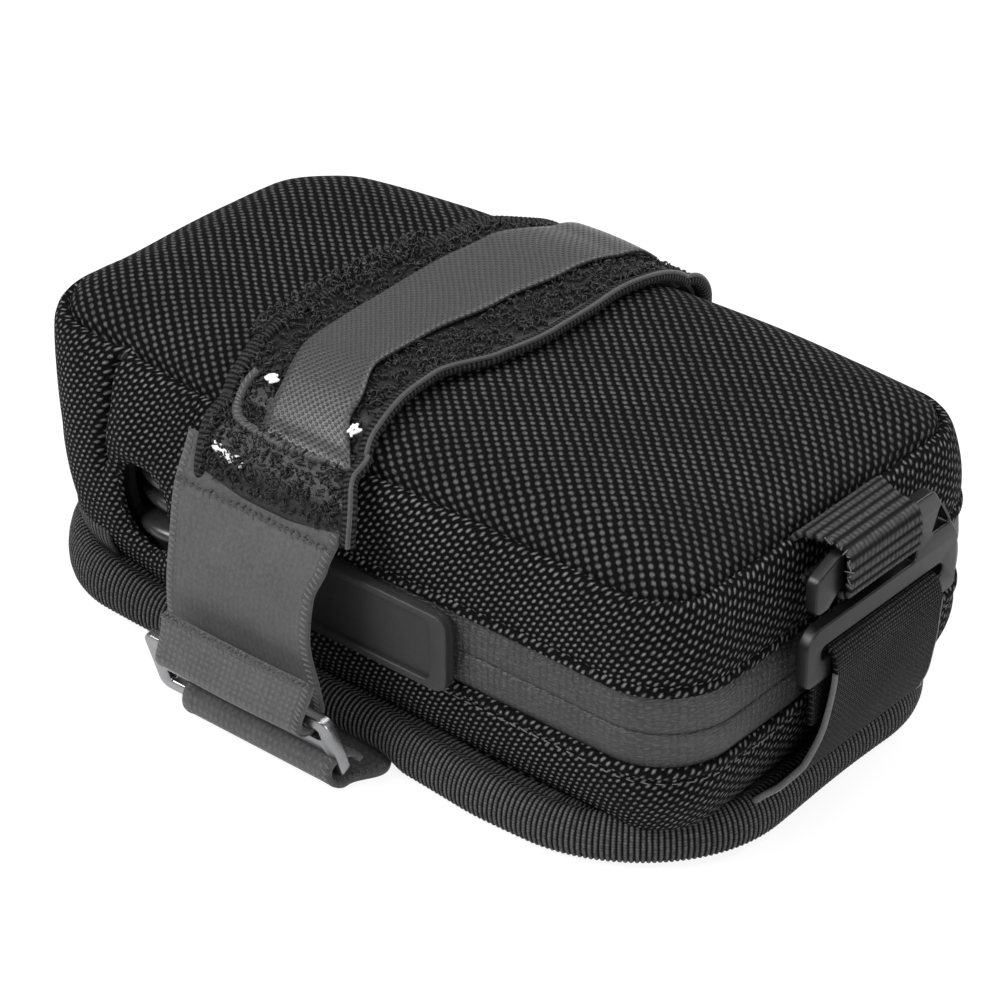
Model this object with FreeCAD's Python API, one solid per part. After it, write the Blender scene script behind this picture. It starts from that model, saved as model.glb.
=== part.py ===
import FreeCAD, Part
import math
import os

# Saddle bag, millimetres. +X is the hook end, -Y the long side with the strap buckle, +Z up.
# The origin is on the surface that the bag rests on, under the middle of the wrap panel.

V = FreeCAD.Vector

# Pod, seen from above
podLength = 161.0
podWidth = 92.0
spineNarrowing = 14.0
taperStart = 36.0
hookCornerRadius = 15.0
spineCornerRadius = 20.0
taperRadius = 60.0
podShift = -0.5
leastRadius = 2.0

# Pod, heights
podFloorZ = 8.6
seamZ = 57.0
zipZ = 33.0
domeRise = 8.0
domeRun = 34.0
domeSteepness = 4.5
domeStations = (0.0, 0.06, 0.14, 0.26, 0.45, 0.7, 1.0)
floorTuck = 4.5
seamTuck = 3.0

# Cloth and stiffeners
clothThick = 1.2
foamThick = 3.0
linerThick = 1.5
linerGap = 1.8
seamReach = 34.0
seamSunk = 0.3

# Zip
tapeHeight = 7.4
zipGap = 1.0
weltHeight = 1.6
weltProud = 0.7
coilWidth = 3.4
coilThick = 0.9
coilLift = 0.1
sliderLength = 11.0
sliderHeight = 8.0
sliderThick = 3.2
sliderClear = 0.35
sliderNeck = 0.3
sliderGap = 2.5
sliderRound = 2.0
pinThick = 1.4
legWide = 1.2
knuckleWide = 3.2
knuckleWall = 0.9
pullLength = 20.0
pullWidth = 6.4
pullThick = 1.2
pullShoulder = 2.8
pullHole = 1.2
pullHoleUp = 3.0
pinClear = 0.35
stopLength = 3.0
stopMargin = 3.5
stopThick = 0.6
stopClear = 0.1

# Wrap panel below the pod
wrapPastEnds = 2.5
wrapPastSides = 1.0
wrapHookRadius = 26.0
wrapSpineRadius = 26.0
wrapCloth = 1.2
wrapFoam = 5.4
wrapLining = 1.0
bindingWide = 5.0
bindingHigh = 10.0
bindingRound = 2.4
bindingGap = 0.3
hingeHigh = 6.0
hingeReach = 60.0

# Side port and the spare tube behind it
portFromEnd = 33.0
portUnderZip = 5.0
portDepth = 30.0
portWide = 15.0
portHigh = 20.0
portEdge = 1.2
tubeLength = 34.0
tubeFoldDeep = 19.2
tubeFoldHigh = 4.6
tubeFolds = 4
tubeGap = 0.5
tubeBack = 6.5
tubeRound = 2.1

# Cinch strap and the strap over the top
strapWidth = 38.0
strapX = -9.5
strapThick = 1.3
strapSkew = 5.0
topStrapX = -8.5
topStrapWidth = 36.0
pileThick = 2.0
strapLift = 0.9
shoulderIn = 5.0
edgeWide = 3.0
edgeProud = 0.6
ribbonWide = 17.5
ribbonThick = 0.8
ribbonLift = 0.4
ribbonNearIn = 8.0
ribbonFarIn = 6.0
slotEdgeGap = 1.0
slotEdgeWide = 3.0
slotEdgePast = 2.0
nearStrapOff = 8.0
nearBow = 1.4
stitchDrop = 8.5
flapHigh = 9.7
channelClear = 0.4
pileInset = 1.4
pileGap = 0.6
farTopIn = 2.2
farTopDrop = 5.0
farTurn = 3.0
farBow = 2.4
farOff = 1.0
underIn = 2.0

# Three-bar buckle
barWide = 3.0
barThick = 2.4
barPitch = 6.0
buckleInner = 39.5
buckleEnd = 3.2
buckleTilt = 18.0
buckleOff = 9.5
loopClear = 0.7
buckleRound = 1.4

# Wing tabs of moulded rubber under the strap
wingHigh = 16.0
wingDrop = 0.5
wingReach = 31.0
wingHidden = -26.0
wingThick = 2.6
wingRim = 1.0
wingRimWide = 1.6
wingEndRim = 3.9
wingCorner = 3.0
wingGap = 1.0

# Hook end
hookOff = 4.0
hookY = 1.5
hookThick = 2.6
hookWide = 44.0
hookBar = 4.3
hookSlot = 2.8
hookArm = 7.0
hookLeg = 4.2
hookBlock = 12.5
hookOverSeam = 3.0
hookChamfer = 8.0
hookCut = 3.0
tipIn = 2.0
tipWide = 3.5
tipReach = 8.0
tipDrop = 2.5
tipCut = 1.5
hookToLoop = 0.6
hookArmGap = 5.6
holeSide = 5.4
holeIn = 5.5
holeUp = 3.5
tabWide = 32.0
tabThick = 1.2
tabFlare = 6.0
flareHigh = 9.0
tabClear = 0.5
tabRootIn = 4.0
tabRootLift = 0.2
tabRootRun = 1.4
backLayerDrop = 10.5
loopWide = 22.0
loopThick = 1.5
loopReach = 1.0
loopRoot = 2.2
loopSlack = 1.1
loopSeamIn = 1.0

# Inside
dividerX = 22.0
dividerHigh = 30.0
dividerThick = 1.2
dividerClear = 1.0

# White stitches that hold the ribbon's end
tackCount = 8
tackLength = 2.6
tackProud = 0.5
tackWide = 1.0
tackMargin = 6.0
tackAlong = 0.35


# Places that follow from the sizes above
past = 1.0
sliver = 0.1
spineWidth = podWidth - spineNarrowing
wrapLength = podLength + 2 * wrapPastEnds
wrapWidth = podWidth + 2 * wrapPastSides
portX = podShift - podLength / 2 + portFromEnd
portZ = zipZ - portUnderZip
stopX = stopMargin - seamReach
tapeTop = zipZ + zipGap / 2 + tapeHeight
tapeBottom = zipZ - zipGap / 2 - tapeHeight
gussetLow = tapeTop + weltHeight
lowerGussetTop = tapeBottom - weltHeight
strapLean = math.tan(math.radians(strapSkew))
strapUnderY = wrapWidth / 2 - underIn
nearStrapY = -podWidth / 2 - nearStrapOff
farStrapY = podWidth / 2 + wingGap + wingThick + strapThick
shoulderY = podWidth / 2 - shoulderIn
stitchZ = seamZ - stitchDrop
buckleY = -wrapWidth / 2 - buckleOff
loopInner = math.hypot(barWide, barThick) / 2 + loopClear
loopOuter = loopInner + strapThick
ribbonNearY = ribbonNearIn - podWidth / 2
ribbonFarY = podWidth / 2 - ribbonFarIn
wingLow = zipZ - wingHigh / 2 - wingDrop
hookX = wrapLength / 2 + hookOff
hookTop = seamZ + hookOverSeam
hookLow = hookTop - hookArm - hookArmGap - 2 * hookBar - hookSlot
barTop = hookLow + 2 * hookBar + hookSlot
armLow = barTop + hookArmGap
foldInner = hookThick / 2 + tabClear
tabY0 = hookY - tabWide / 2
tabY1 = hookY + tabWide / 2
farY = podWidth / 2 + sliderClear
sliderStart = wingReach + sliderGap
knuckleRadius = pinThick / 2 + pinClear + knuckleWall
pinZ = zipZ - sliderHeight / 4
pinY = farY + sliderThick + knuckleRadius + pinClear


def insetPolygon(points, inset):
    count = len(points)
    result = []
    for i in range(count):
        before = points[i - 1]
        here = points[i]
        after = points[(i + 1) % count]
        d1 = (here - before).normalize()
        d2 = (after - here).normalize()
        n1 = V(-d1.y, d1.x, 0)
        n2 = V(-d2.y, d2.x, 0)
        shift = (n1 + n2) * (inset / (1 + n1.dot(n2)))
        result.append(here + shift)
    return result


def roundedWire(points, radii, z):
    count = len(points)
    starts = []
    ends = []
    middles = []
    for i in range(count):
        here = points[i]
        toBefore = (points[i - 1] - here).normalize()
        toAfter = (points[(i + 1) % count] - here).normalize()
        half = toBefore.getAngle(toAfter) / 2
        reach = radii[i] / math.tan(half)
        centre = here + (toBefore + toAfter).normalize() * (radii[i] / math.sin(half))
        starts.append(here + toBefore * reach)
        ends.append(here + toAfter * reach)
        middles.append(centre + (here - centre).normalize() * radii[i])
    edges = []
    lift = V(0, 0, z)
    for i in range(count):
        arc = Part.Arc(starts[i] + lift, middles[i] + lift, ends[i] + lift)
        edges.append(arc.toShape())
        edges.append(Part.makeLine(ends[i] + lift, starts[(i + 1) % count] + lift))
    return Part.Wire(edges)


def podWire(inset, z):
    right = podShift + podLength / 2
    left = podShift - podLength / 2
    half = podWidth / 2
    spine = spineWidth / 2
    points = [V(right, -half, 0), V(right, half, 0), V(-taperStart, half, 0)]
    points += [V(left, spine, 0), V(left, -spine, 0), V(-taperStart, -half, 0)]
    hookEnd = [hookCornerRadius, hookCornerRadius]
    radii = hookEnd + [taperRadius, spineCornerRadius, spineCornerRadius, taperRadius]
    shrunk = [max(radius - inset, leastRadius) for radius in radii]
    return roundedWire(insetPolygon(points, inset), shrunk, z)


def wrapWire(inset, z):
    right = wrapLength / 2
    half = wrapWidth / 2
    points = [V(right, -half, 0), V(right, half, 0), V(-right, half, 0), V(-right, -half, 0)]
    radii = [wrapHookRadius, wrapHookRadius, wrapSpineRadius, wrapSpineRadius]
    return roundedWire(insetPolygon(points, inset), [radius - inset for radius in radii], z)


def podTuck(z):
    if z < zipZ:
        return floorTuck * ((zipZ - z) / (zipZ - podFloorZ)) ** 2
    return seamTuck * ((z - zipZ) / (seamZ - zipZ)) ** 2


def podSolid(low, high, inset, steps=3):
    heights = [low + (high - low) * k / steps for k in range(steps + 1)]
    wires = [podWire(podTuck(z) + inset, z) for z in heights]
    return Part.makeLoft(wires, True, True)


def podBand(low, high, inset, wall, steps=3):
    return podSolid(low, high, inset, steps).cut(podSolid(low, high, inset + wall, steps))


def plate(wire, height):
    return Part.Face(wire).extrude(V(0, 0, height))


def box(x0, x1, y0, y1, z0, z1):
    return Part.makeBox(x1 - x0, y1 - y0, z1 - z0, V(x0, y0, z0))


def hookSide(shape):
    return shape.common(box(-seamReach, wrapLength, -wrapWidth, wrapWidth, 0, hookTop * 2))


def spineSide(shape):
    return shape.common(box(-wrapLength, -seamReach, -wrapWidth, wrapWidth, 0, hookTop * 2))


def domeWires(inset, drop):
    wires = []
    for t in domeStations:
        z = seamZ + (domeRise - drop) * (1 - (1 - t) ** domeSteepness)
        wires.append(podWire(seamTuck + inset + domeRun * t, z))
    return wires


def domeHeight(y):
    depth = podWidth / 2 - seamTuck - abs(y)
    t = min(max(depth / domeRun, 0.0), 1.0)
    return seamZ + domeRise * (1 - (1 - t) ** domeSteepness)


def abovePanel(y, offset):
    # point at the given distance square to the top panel
    step = 0.1
    slope = (domeHeight(y + step) - domeHeight(y - step)) / (2 * step)
    size = math.hypot(1, slope)
    return y - slope / size * offset, domeHeight(y) + offset / size


def topPanel():
    outer = Part.makeLoft(domeWires(0, 0), True, True)
    inner = Part.makeLoft(domeWires(clothThick, clothThick), True, True)
    return outer.cut(inner)


def topFoam():
    inner = Part.makeLoft(domeWires(clothThick, clothThick), True, True)
    skirt = plate(podWire(seamTuck + clothThick, seamZ - foamThick), foamThick)
    return inner.fuse(skirt).removeSplitter()


def ovalCutter(grow):
    half = portWide / 2 + grow
    tall = portHigh / 2 - portWide / 2
    depth = podWidth / 2
    start = V(portX - half, 0, portZ - tall)
    edges = [Part.makeLine(V(portX - half, 0, portZ + tall), start)]
    low = V(portX, 0, portZ - tall - half)
    edges.append(Part.Arc(start, low, V(portX + half, 0, portZ - tall)).toShape())
    edges.append(Part.makeLine(V(portX + half, 0, portZ - tall), V(portX + half, 0, portZ + tall)))
    high = V(portX, 0, portZ + tall + half)
    above = V(portX + half, 0, portZ + tall)
    edges.append(Part.Arc(above, high, V(portX - half, 0, portZ + tall)).toShape())
    cutter = Part.Face(Part.Wire(edges)).extrude(V(0, portDepth, 0))
    cutter.translate(V(0, -depth - clothThick, 0))
    return cutter


def upperGusset():
    return hookSide(podBand(gussetLow, seamZ - clothThick, 0, clothThick))


def lowerGusset():
    return hookSide(podBand(podFloorZ, lowerGussetTop, 0, clothThick))


def upperWelt():
    return hookSide(podBand(tapeTop, gussetLow, -weltProud, clothThick + weltProud, 1))


def lowerWelt():
    return hookSide(podBand(lowerGussetTop, tapeBottom, -weltProud, clothThick + weltProud, 1))


def upperZipTape():
    return hookSide(podBand(zipZ + zipGap / 2, tapeTop, 0, clothThick, 1))


def lowerZipTape():
    return hookSide(podBand(tapeBottom, zipZ - zipGap / 2, 0, clothThick, 1))


def zipCoil():
    band = podBand(zipZ - coilWidth / 2, zipZ + coilWidth / 2, clothThick + coilLift, coilThick, 1)
    return hookSide(band)


def zipStops():
    # two short pieces of a band that lies just inside the coil, wherever the coil runs
    inset = clothThick + coilLift + coilThick + stopClear
    band = podBand(zipZ - coilWidth / 2, zipZ + coilWidth / 2, inset, stopThick, 1)
    return band.common(box(stopX, stopX + stopLength, -podWidth, podWidth, 0, hookTop))


def spinePanel():
    band = podBand(podFloorZ, seamZ - clothThick, 0, clothThick, 5)
    return spineSide(band).cut(ovalCutter(0))


def portBinding():
    ring = ovalCutter(0).cut(ovalCutter(-portEdge))
    depth = podSolid(podFloorZ, seamZ, -portEdge / 2, 5)
    inner = podSolid(podFloorZ, seamZ, clothThick, 5)
    return ring.common(depth).cut(inner)


def topSeamTape():
    z = seamZ - clothThick
    tape = plate(podWire(seamTuck + seamSunk, z), clothThick)
    return tape.cut(plate(podWire(seamTuck + clothThick, z), clothThick))


def podLiner():
    inset = clothThick + linerGap
    ring = podBand(podFloorZ + clothThick, seamZ - foamThick, inset, linerThick, 5)
    return ring.cut(ovalCutter(portEdge / 2))


def podFloor():
    z = podFloorZ
    return plate(podWire(podTuck(z) + clothThick, z), clothThick)


def floorFoam():
    z = podFloorZ + clothThick
    return plate(podWire(podTuck(z) + clothThick + linerGap + linerThick, z), foamThick)


def divider():
    low = podFloorZ + clothThick + foamThick
    half = podWidth / 2 - podTuck(low) - clothThick - linerGap - linerThick - dividerClear
    return box(dividerX, dividerX + dividerThick, -half, half, low, low + dividerHigh)


def spareTube():
    # flat folds of the tube stacked in height behind the port
    folds = []
    front = -(podWidth / 2 - clothThick - linerGap - linerThick - tubeBack)
    stack = tubeFolds * tubeFoldHigh + (tubeFolds - 1) * tubeGap
    for k in range(tubeFolds):
        fold = box(-tubeLength / 2, tubeLength / 2, 0, tubeFoldDeep, 0, tubeFoldHigh)
        long = [edge for edge in fold.Edges if abs(edge.tangentAt(edge.FirstParameter).x) > 0.9]
        fold = fold.makeFillet(tubeRound, long)
        fold.translate(V(portX, front, portZ - stack / 2 + k * (tubeFoldHigh + tubeGap)))
        folds.append(fold)
    return Part.makeCompound(folds)


def zipSlider():
    body = box(sliderStart, sliderStart + sliderLength, farY, farY + sliderThick,
               zipZ - sliderHeight / 2, zipZ + sliderHeight / 2)
    upright = [edge for edge in body.Edges if abs(edge.tangentAt(edge.FirstParameter).y) > 0.9]
    body = body.makeFillet(sliderRound, upright)
    neck = box(sliderStart + sliderRound, sliderStart + sliderLength - sliderRound,
               farY - clothThick, farY + past, zipZ - sliderNeck / 2, zipZ + sliderNeck / 2)
    middle = sliderStart + sliderLength / 2
    inside = knuckleWide / 2 + pinClear
    face = farY + sliderThick
    pieces = [neck]
    for x in (middle - inside - legWide, middle + inside):
        pieces.append(box(x, x + legWide, face - past, pinY, pinZ - pinThick / 2, pinZ + pinThick / 2))
        pieces.append(Part.makeCylinder(pinThick / 2, legWide, V(x, pinY, pinZ), V(1, 0, 0)))
    pin = Part.makeCylinder(pinThick / 2, 2 * inside, V(middle - inside, pinY, pinZ), V(1, 0, 0))
    return body.fuse(pieces + [pin]).removeSplitter()


def zipPull():
    middle = sliderStart + sliderLength / 2
    start = V(middle - knuckleWide / 2, pinY, pinZ)
    knuckle = Part.makeCylinder(knuckleRadius, knuckleWide, start, V(1, 0, 0))
    bore = Part.makeCylinder(pinThick / 2 + pinClear, knuckleWide + 2 * past,
                             start - V(past, 0, 0), V(1, 0, 0))
    back = pinY - pullThick / 2
    neck = box(middle - knuckleWide / 2, middle + knuckleWide / 2, back, back + pullThick,
               pinZ - pullShoulder - past, pinZ)
    tab = box(middle - pullWidth / 2, middle + pullWidth / 2, back, back + pullThick,
              pinZ - pullLength, pinZ - pullShoulder)
    hole = Part.makeCylinder(pullHole, pullThick + 2 * past,
                             V(middle, back - past, pinZ - pullLength + pullHoleUp), V(0, 1, 0))
    return knuckle.fuse([neck, tab]).cut(bore).cut(hole).removeSplitter()


channel = box(strapX - strapWidth / 2 - channelClear, strapX + strapWidth / 2 + channelClear,
              -wrapWidth, wrapWidth, -past, strapThick + channelClear)


def wrapOuterCloth():
    sheet = plate(wrapWire(bindingWide, 0), wrapCloth)
    x0 = strapX - strapWidth / 2 - channelClear - wrapCloth
    x1 = strapX + strapWidth / 2 + channelClear + wrapCloth
    half = wrapWidth / 2 - bindingWide
    raised = box(x0, x1, -half, half, 0, strapThick + channelClear + wrapCloth)
    return sheet.fuse(raised).cut(channel).removeSplitter()


def wrapFoamCore():
    return plate(wrapWire(bindingWide, wrapCloth), wrapFoam).cut(wrapOuterCloth()).cut(channel)


def wrapInnerLining():
    return plate(wrapWire(bindingWide, wrapCloth + wrapFoam), wrapLining)


def wrapBinding():
    roll = plate(wrapWire(0, 0), bindingHigh)
    outline = [edge for edge in roll.Edges if abs(edge.tangentAt(edge.FirstParameter).z) < 0.5]
    roll = roll.makeFillet(bindingRound, outline)
    inner = plate(wrapWire(bindingWide, -past), bindingHigh + 2 * past)
    pod = podSolid(podFloorZ - bindingGap, bindingHigh + past, -bindingGap)
    return roll.cut(inner).cut(channel).cut(pod)


def spineHinge():
    # cloth strip that joins the wrap panel to the pod at the end away from the hook
    band = podBand(bindingHigh, bindingHigh + hingeHigh, -clothThick, clothThick)
    return band.common(box(-wrapLength, -hingeReach, -spineWidth / 2, spineWidth / 2, 0, hookTop))


def stripFrom(path, thick, x0, x1, lean=0.0):
    # flat strip that follows a path of (y, z) points; lean slants it, in X per millimetre of Y
    outer = []
    inner = []
    count = len(path)
    for i in range(count):
        before = path[max(i - 1, 0)]
        after = path[min(i + 1, count - 1)]
        run = after[0] - before[0]
        rise = after[1] - before[1]
        half = thick / 2 / math.hypot(run, rise)
        y, z = path[i]
        outer.append((y - rise * half, z + run * half))
        inner.append((y + rise * half, z - run * half))
    ring = [V(x0 + lean * y, y, z) for y, z in outer + inner[::-1]]
    return Part.Face(Part.makePolygon(ring + [ring[0]])).extrude(V(x1 - x0, 0, 0))


def topPath(lift):
    path = []
    for k in range(17):
        y = shoulderY * math.cos(math.pi * k / 16)
        path.append(abovePanel(y, strapLift + lift))
    return path


def shoulderArc(top, low, steps=5):
    # quarter of an ellipse from the top panel's edge down the side, without its first point
    path = []
    for k in range(1, steps + 1):
        angle = math.pi / 2 * k / steps
        y = top[0] + (low[0] - top[0]) * math.sin(angle)
        path.append((y, low[1] + (top[1] - low[1]) * math.cos(angle)))
    return path


across = topPath(pileThick / 2)
farTop = (farStrapY - farTopIn, seamZ - farTopDrop)
nearTop = (nearStrapY + pileInset, stitchZ + pileGap)
pilePath = shoulderArc(across[0], farTop)[::-1] + across + shoulderArc(across[-1], nearTop)


def pileStrap():
    half = topStrapWidth / 2
    return stripFrom(pilePath, pileThick, topStrapX - half, topStrapX + half, strapLean)


def pileEdge(side):
    start = topStrapX + side * topStrapWidth / 2
    x0 = min(start, start + side * edgeWide)
    return stripFrom(pilePath, pileThick + edgeProud, x0, x0 + edgeWide, strapLean)


def railRibbon():
    lift = pileThick + ribbonLift + ribbonThick / 2
    path = []
    for k in range(13):
        y = ribbonFarY + (ribbonNearY - ribbonFarY) * k / 12
        path.append(abovePanel(y, strapLift + lift))
    half = ribbonWide / 2
    return stripFrom(path, ribbonThick, topStrapX - half, topStrapX + half, strapLean)


def ribbonSlotEdge():
    # stitched edge where the ribbon dips in: a low bar across the strap just past the ribbon's near end
    path = []
    steps = 3
    for k in range(steps + 1):
        y = ribbonNearY - slotEdgeGap - slotEdgeWide * k / steps
        path.append(abovePanel(y, strapLift + pileThick + ribbonLift + ribbonThick / 2))
    half = ribbonWide / 2 + slotEdgePast
    return stripFrom(path, ribbonThick, topStrapX - half, topStrapX + half, strapLean)


def barTackRow():
    tacks = []
    step = (topStrapWidth - 2 * tackMargin) / (tackCount - 1)
    low = pilePath[-1]
    high = pilePath[-2]
    tackY = low[0] + (high[0] - low[0]) * tackAlong
    tackZ = low[1] + (high[1] - low[1]) * tackAlong
    face = tackY - pileThick / 2
    for k in range(tackCount):
        x = topStrapX + strapLean * tackY - topStrapWidth / 2 + tackMargin + k * step
        tacks.append(box(x - tackLength / 2, x + tackLength / 2, face - tackProud, face + tackProud,
                         tackZ, tackZ + tackWide))
    return Part.makeCompound(tacks)


def barCentre(index):
    # bar 0 sits in the lower strap, bar 1 shows in the middle, bar 2 sits in the cinch strap
    z = loopOuter + index * barPitch * math.cos(math.radians(buckleTilt))
    return buckleY - index * barPitch * math.sin(math.radians(buckleTilt)), z


def strapLoop(index):
    y, z = barCentre(index)
    x0 = strapX - strapWidth / 2
    outer = Part.makeCylinder(loopOuter, strapWidth, V(x0, y, z), V(1, 0, 0))
    inner = Part.makeCylinder(loopInner, strapWidth, V(x0, y, z), V(1, 0, 0))
    return outer.cut(inner), inner


def lowerStrap():
    ring, hollow = strapLoop(0)
    x0 = strapX - strapWidth / 2
    y = barCentre(0)[0]
    tail = box(x0, x0 + strapWidth, y, -strapUnderY, 0, strapThick)
    return ring.fuse(tail.cut(hollow)).removeSplitter()


def underStrap():
    x0 = strapX - strapWidth / 2
    return box(x0, x0 + strapWidth, -strapUnderY, strapUnderY, 0, strapThick)


def farStrap():
    outside = wrapWidth / 2 + farOff
    path = [(strapUnderY, strapThick / 2)]
    steps = 4
    for k in range(steps + 1):
        angle = math.pi / 2 * k / steps
        path.append((outside + farTurn * math.sin(angle), strapThick / 2 + farTurn * (1 - math.cos(angle))))
    start = path[-1]
    steps = 6
    for k in range(1, steps + 1):
        t = k / steps
        y = start[0] + (farTop[0] - start[0]) * t + farBow * 4 * t * (1 - t)
        path.append((y, start[1] + (farTop[1] - start[1]) * t))
    half = strapWidth / 2
    return stripFrom(path, strapThick, strapX - half, strapX + half)


def cinchStrap():
    ring, hollow = strapLoop(2)
    y, z = barCentre(2)
    x0 = strapX - strapWidth / 2
    backY = y + loopInner + strapThick / 2
    path = []
    for k in range(9):
        t = k / 8
        bow = nearBow * 4 * t * (1 - t)
        path.append((backY + (nearStrapY - backY) * t - bow, z + (stitchZ - z) * t))
    panel = stripFrom(path[::-1], strapThick, x0, x0 + strapWidth)
    front = (y - loopInner - strapThick, z)
    flap = box(x0, x0 + strapWidth, front[0], front[0] + strapThick, z, z + flapHigh)
    return ring.fuse([panel.cut(hollow), flap.cut(hollow)]).removeSplitter()


def buckle():
    x0 = strapX - buckleInner / 2
    pieces = []
    tilt = FreeCAD.Rotation(V(1, 0, 0), buckleTilt)
    y, z = barCentre(0)
    for k in range(3):
        bar = box(x0 - sliver, x0 + buckleInner + sliver, -barThick / 2, barThick / 2,
                  k * barPitch - barWide / 2, k * barPitch + barWide / 2)
        pieces.append(bar)
    for x in (x0 - buckleEnd, x0 + buckleInner):
        end = box(x, x + buckleEnd, -barThick / 2, barThick / 2, -barWide / 2, 2 * barPitch + barWide / 2)
        upright = [edge for edge in end.Edges if abs(edge.tangentAt(edge.FirstParameter).y) > 0.9]
        side = x + buckleEnd if x > x0 else x
        outer = [edge for edge in upright if abs(edge.Vertexes[0].X - side) < 0.01]
        pieces.append(end.makeFillet(buckleRound, outer))
    frame = pieces[0].fuse(pieces[1:]).removeSplitter()
    frame.Placement = FreeCAD.Placement(V(0, y, z), tilt)
    return frame


def wing(side):
    x0 = wingHidden
    x1 = wingReach
    y0 = podWidth / 2 + wingGap
    body = box(x0, x1, y0, y0 + wingThick, wingLow, wingLow + wingHigh)
    ends = [edge for edge in body.Edges if abs(edge.tangentAt(edge.FirstParameter).y) > 0.9]
    ends = [edge for edge in ends if abs(edge.Vertexes[0].X - x1) < 0.01]
    body = body.makeFillet(wingCorner, ends)
    pocket = box(x0 - past, x1 - wingEndRim, y0 + wingThick - wingRim, y0 + wingThick + past,
                 wingLow + wingRimWide, wingLow + wingHigh - wingRimWide)
    body = body.cut(pocket)
    if side < 0:
        body = body.mirror(V(0, 0, 0), V(0, 1, 0))
    return body


def gHook():
    # the plate as seen from the +X end: u runs along +Y, v up
    left = hookY - hookWide / 2
    right = hookY + hookWide / 2
    block = right - hookBlock
    points = [(left, hookLow), (right, hookLow), (right, barTop), (right - hookChamfer, hookTop)]
    points += [(left + tipReach, hookTop), (left + tipIn, hookTop - tipCut)]
    points += [(left + tipIn, armLow - tipDrop)]
    points += [(left + tipIn + tipWide, armLow - tipDrop), (left + tipReach, armLow), (block, armLow)]
    points += [(block, barTop), (left + hookCut, barTop), (left, barTop - hookCut)]
    ring = [V(0, u, v) for u, v in points]
    body = Part.Face(Part.makePolygon(ring + [ring[0]])).extrude(V(hookThick, 0, 0))
    slotLow = hookLow + hookBar
    slot = box(-past, hookThick + past, left + hookLeg, right - hookLeg, slotLow, slotLow + hookSlot)
    body = body.cut(slot)
    middle = right - holeIn
    low = barTop + holeUp
    triangle = [V(-past, middle - holeSide / 2, low), V(-past, middle + holeSide / 2, low)]
    triangle.append(V(-past, middle, low + holeSide))
    hole = Part.Face(Part.makePolygon(triangle + [triangle[0]])).extrude(V(hookThick + 2 * past, 0, 0))
    body = body.cut(hole)
    body.translate(V(hookX - hookThick / 2, 0, 0))
    return body


def tabLoop():
    # the fold of the tab round the hook's lowest bar, as a flat tube with a square section
    low = hookLow - tabClear
    high = hookLow + hookBar + tabClear
    outer = box(hookX - foldInner - tabThick, hookX + foldInner + tabThick, tabY0, tabY1,
                low - tabThick, high + tabThick)
    along = [edge for edge in outer.Edges if abs(edge.tangentAt(edge.FirstParameter).y) > 0.9]
    outer = outer.makeFillet(tabThick - sliver, along)
    inner = box(hookX - foldInner, hookX + foldInner, tabY0 - past, tabY1 + past, low, high)
    return outer.cut(inner)


def hookTab():
    frontX = hookX + foldInner
    rootX = wrapLength / 2 - tabRootIn
    edgeX = wrapLength / 2 + tabRootRun
    rootZ = bindingHigh + tabRootLift
    low = hookLow - tabClear - tabThick / 2
    section = [V(frontX, 0, low), V(frontX + tabThick, 0, low), V(edgeX, 0, rootZ + tabThick / 2)]
    section += [V(edgeX - tabThick / 2, 0, rootZ), V(rootX, 0, rootZ), V(rootX, 0, rootZ + tabThick)]
    section += [V(edgeX - tabThick, 0, rootZ + tabThick)]
    face = Part.Face(Part.makePolygon(section + [section[0]]))
    pieces = [face.extrude(V(0, tabWide, 0))]
    pieces[0].translate(V(0, tabY0, 0))
    for side in (-1, 1):
        edge = hookY + side * tabWide / 2
        corner = [V(0, edge, rootZ - past), V(0, edge, rootZ - past + flareHigh)]
        corner += [V(0, edge + side * tabFlare, rootZ - past)]
        wedge = Part.Face(Part.makePolygon(corner + [corner[0]])).extrude(V(wrapLength, 0, 0))
        wide = face.extrude(V(0, tabFlare, 0))
        wide.translate(V(0, edge if side > 0 else edge - tabFlare, 0))
        pieces.append(wide.common(wedge))
    return tabLoop().fuse(pieces).removeSplitter()


def hookTabBack():
    x = hookX - foldInner - tabThick
    top = hookLow - tabClear - tabThick
    return box(x, x + tabThick, tabY0, tabY1, top - backLayerDrop, top)


def webbingLoop():
    # sewn into the pod's top seam, out to the hook's arm, round it and back
    y0 = hookY + hookWide / 2 - hookBlock - loopWide - hookToLoop
    low = armLow - loopSlack
    high = hookTop + tabClear
    outX = hookX + hookThick / 2 + loopReach + loopThick
    endX = podShift + podLength / 2 - seamTuck - loopSeamIn
    outer = box(endX, outX, y0, y0 + loopWide, low - loopThick, high + loopThick)
    rounded = [edge for edge in outer.Edges if abs(edge.tangentAt(edge.FirstParameter).y) > 0.9]
    rounded = [edge for edge in rounded if abs(edge.Vertexes[0].X - outX) < 0.01]
    outer = outer.makeFillet(loopThick, rounded)
    inner = box(endX + loopRoot, outX - loopThick, y0 - past, y0 + loopWide + past, low, high)
    pod = podSolid(podFloorZ, seamZ, -bindingGap, 5)
    dome = Part.makeLoft(domeWires(-bindingGap, -bindingGap), True, True)
    return outer.cut(inner).cut(pod).cut(dome)


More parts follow.
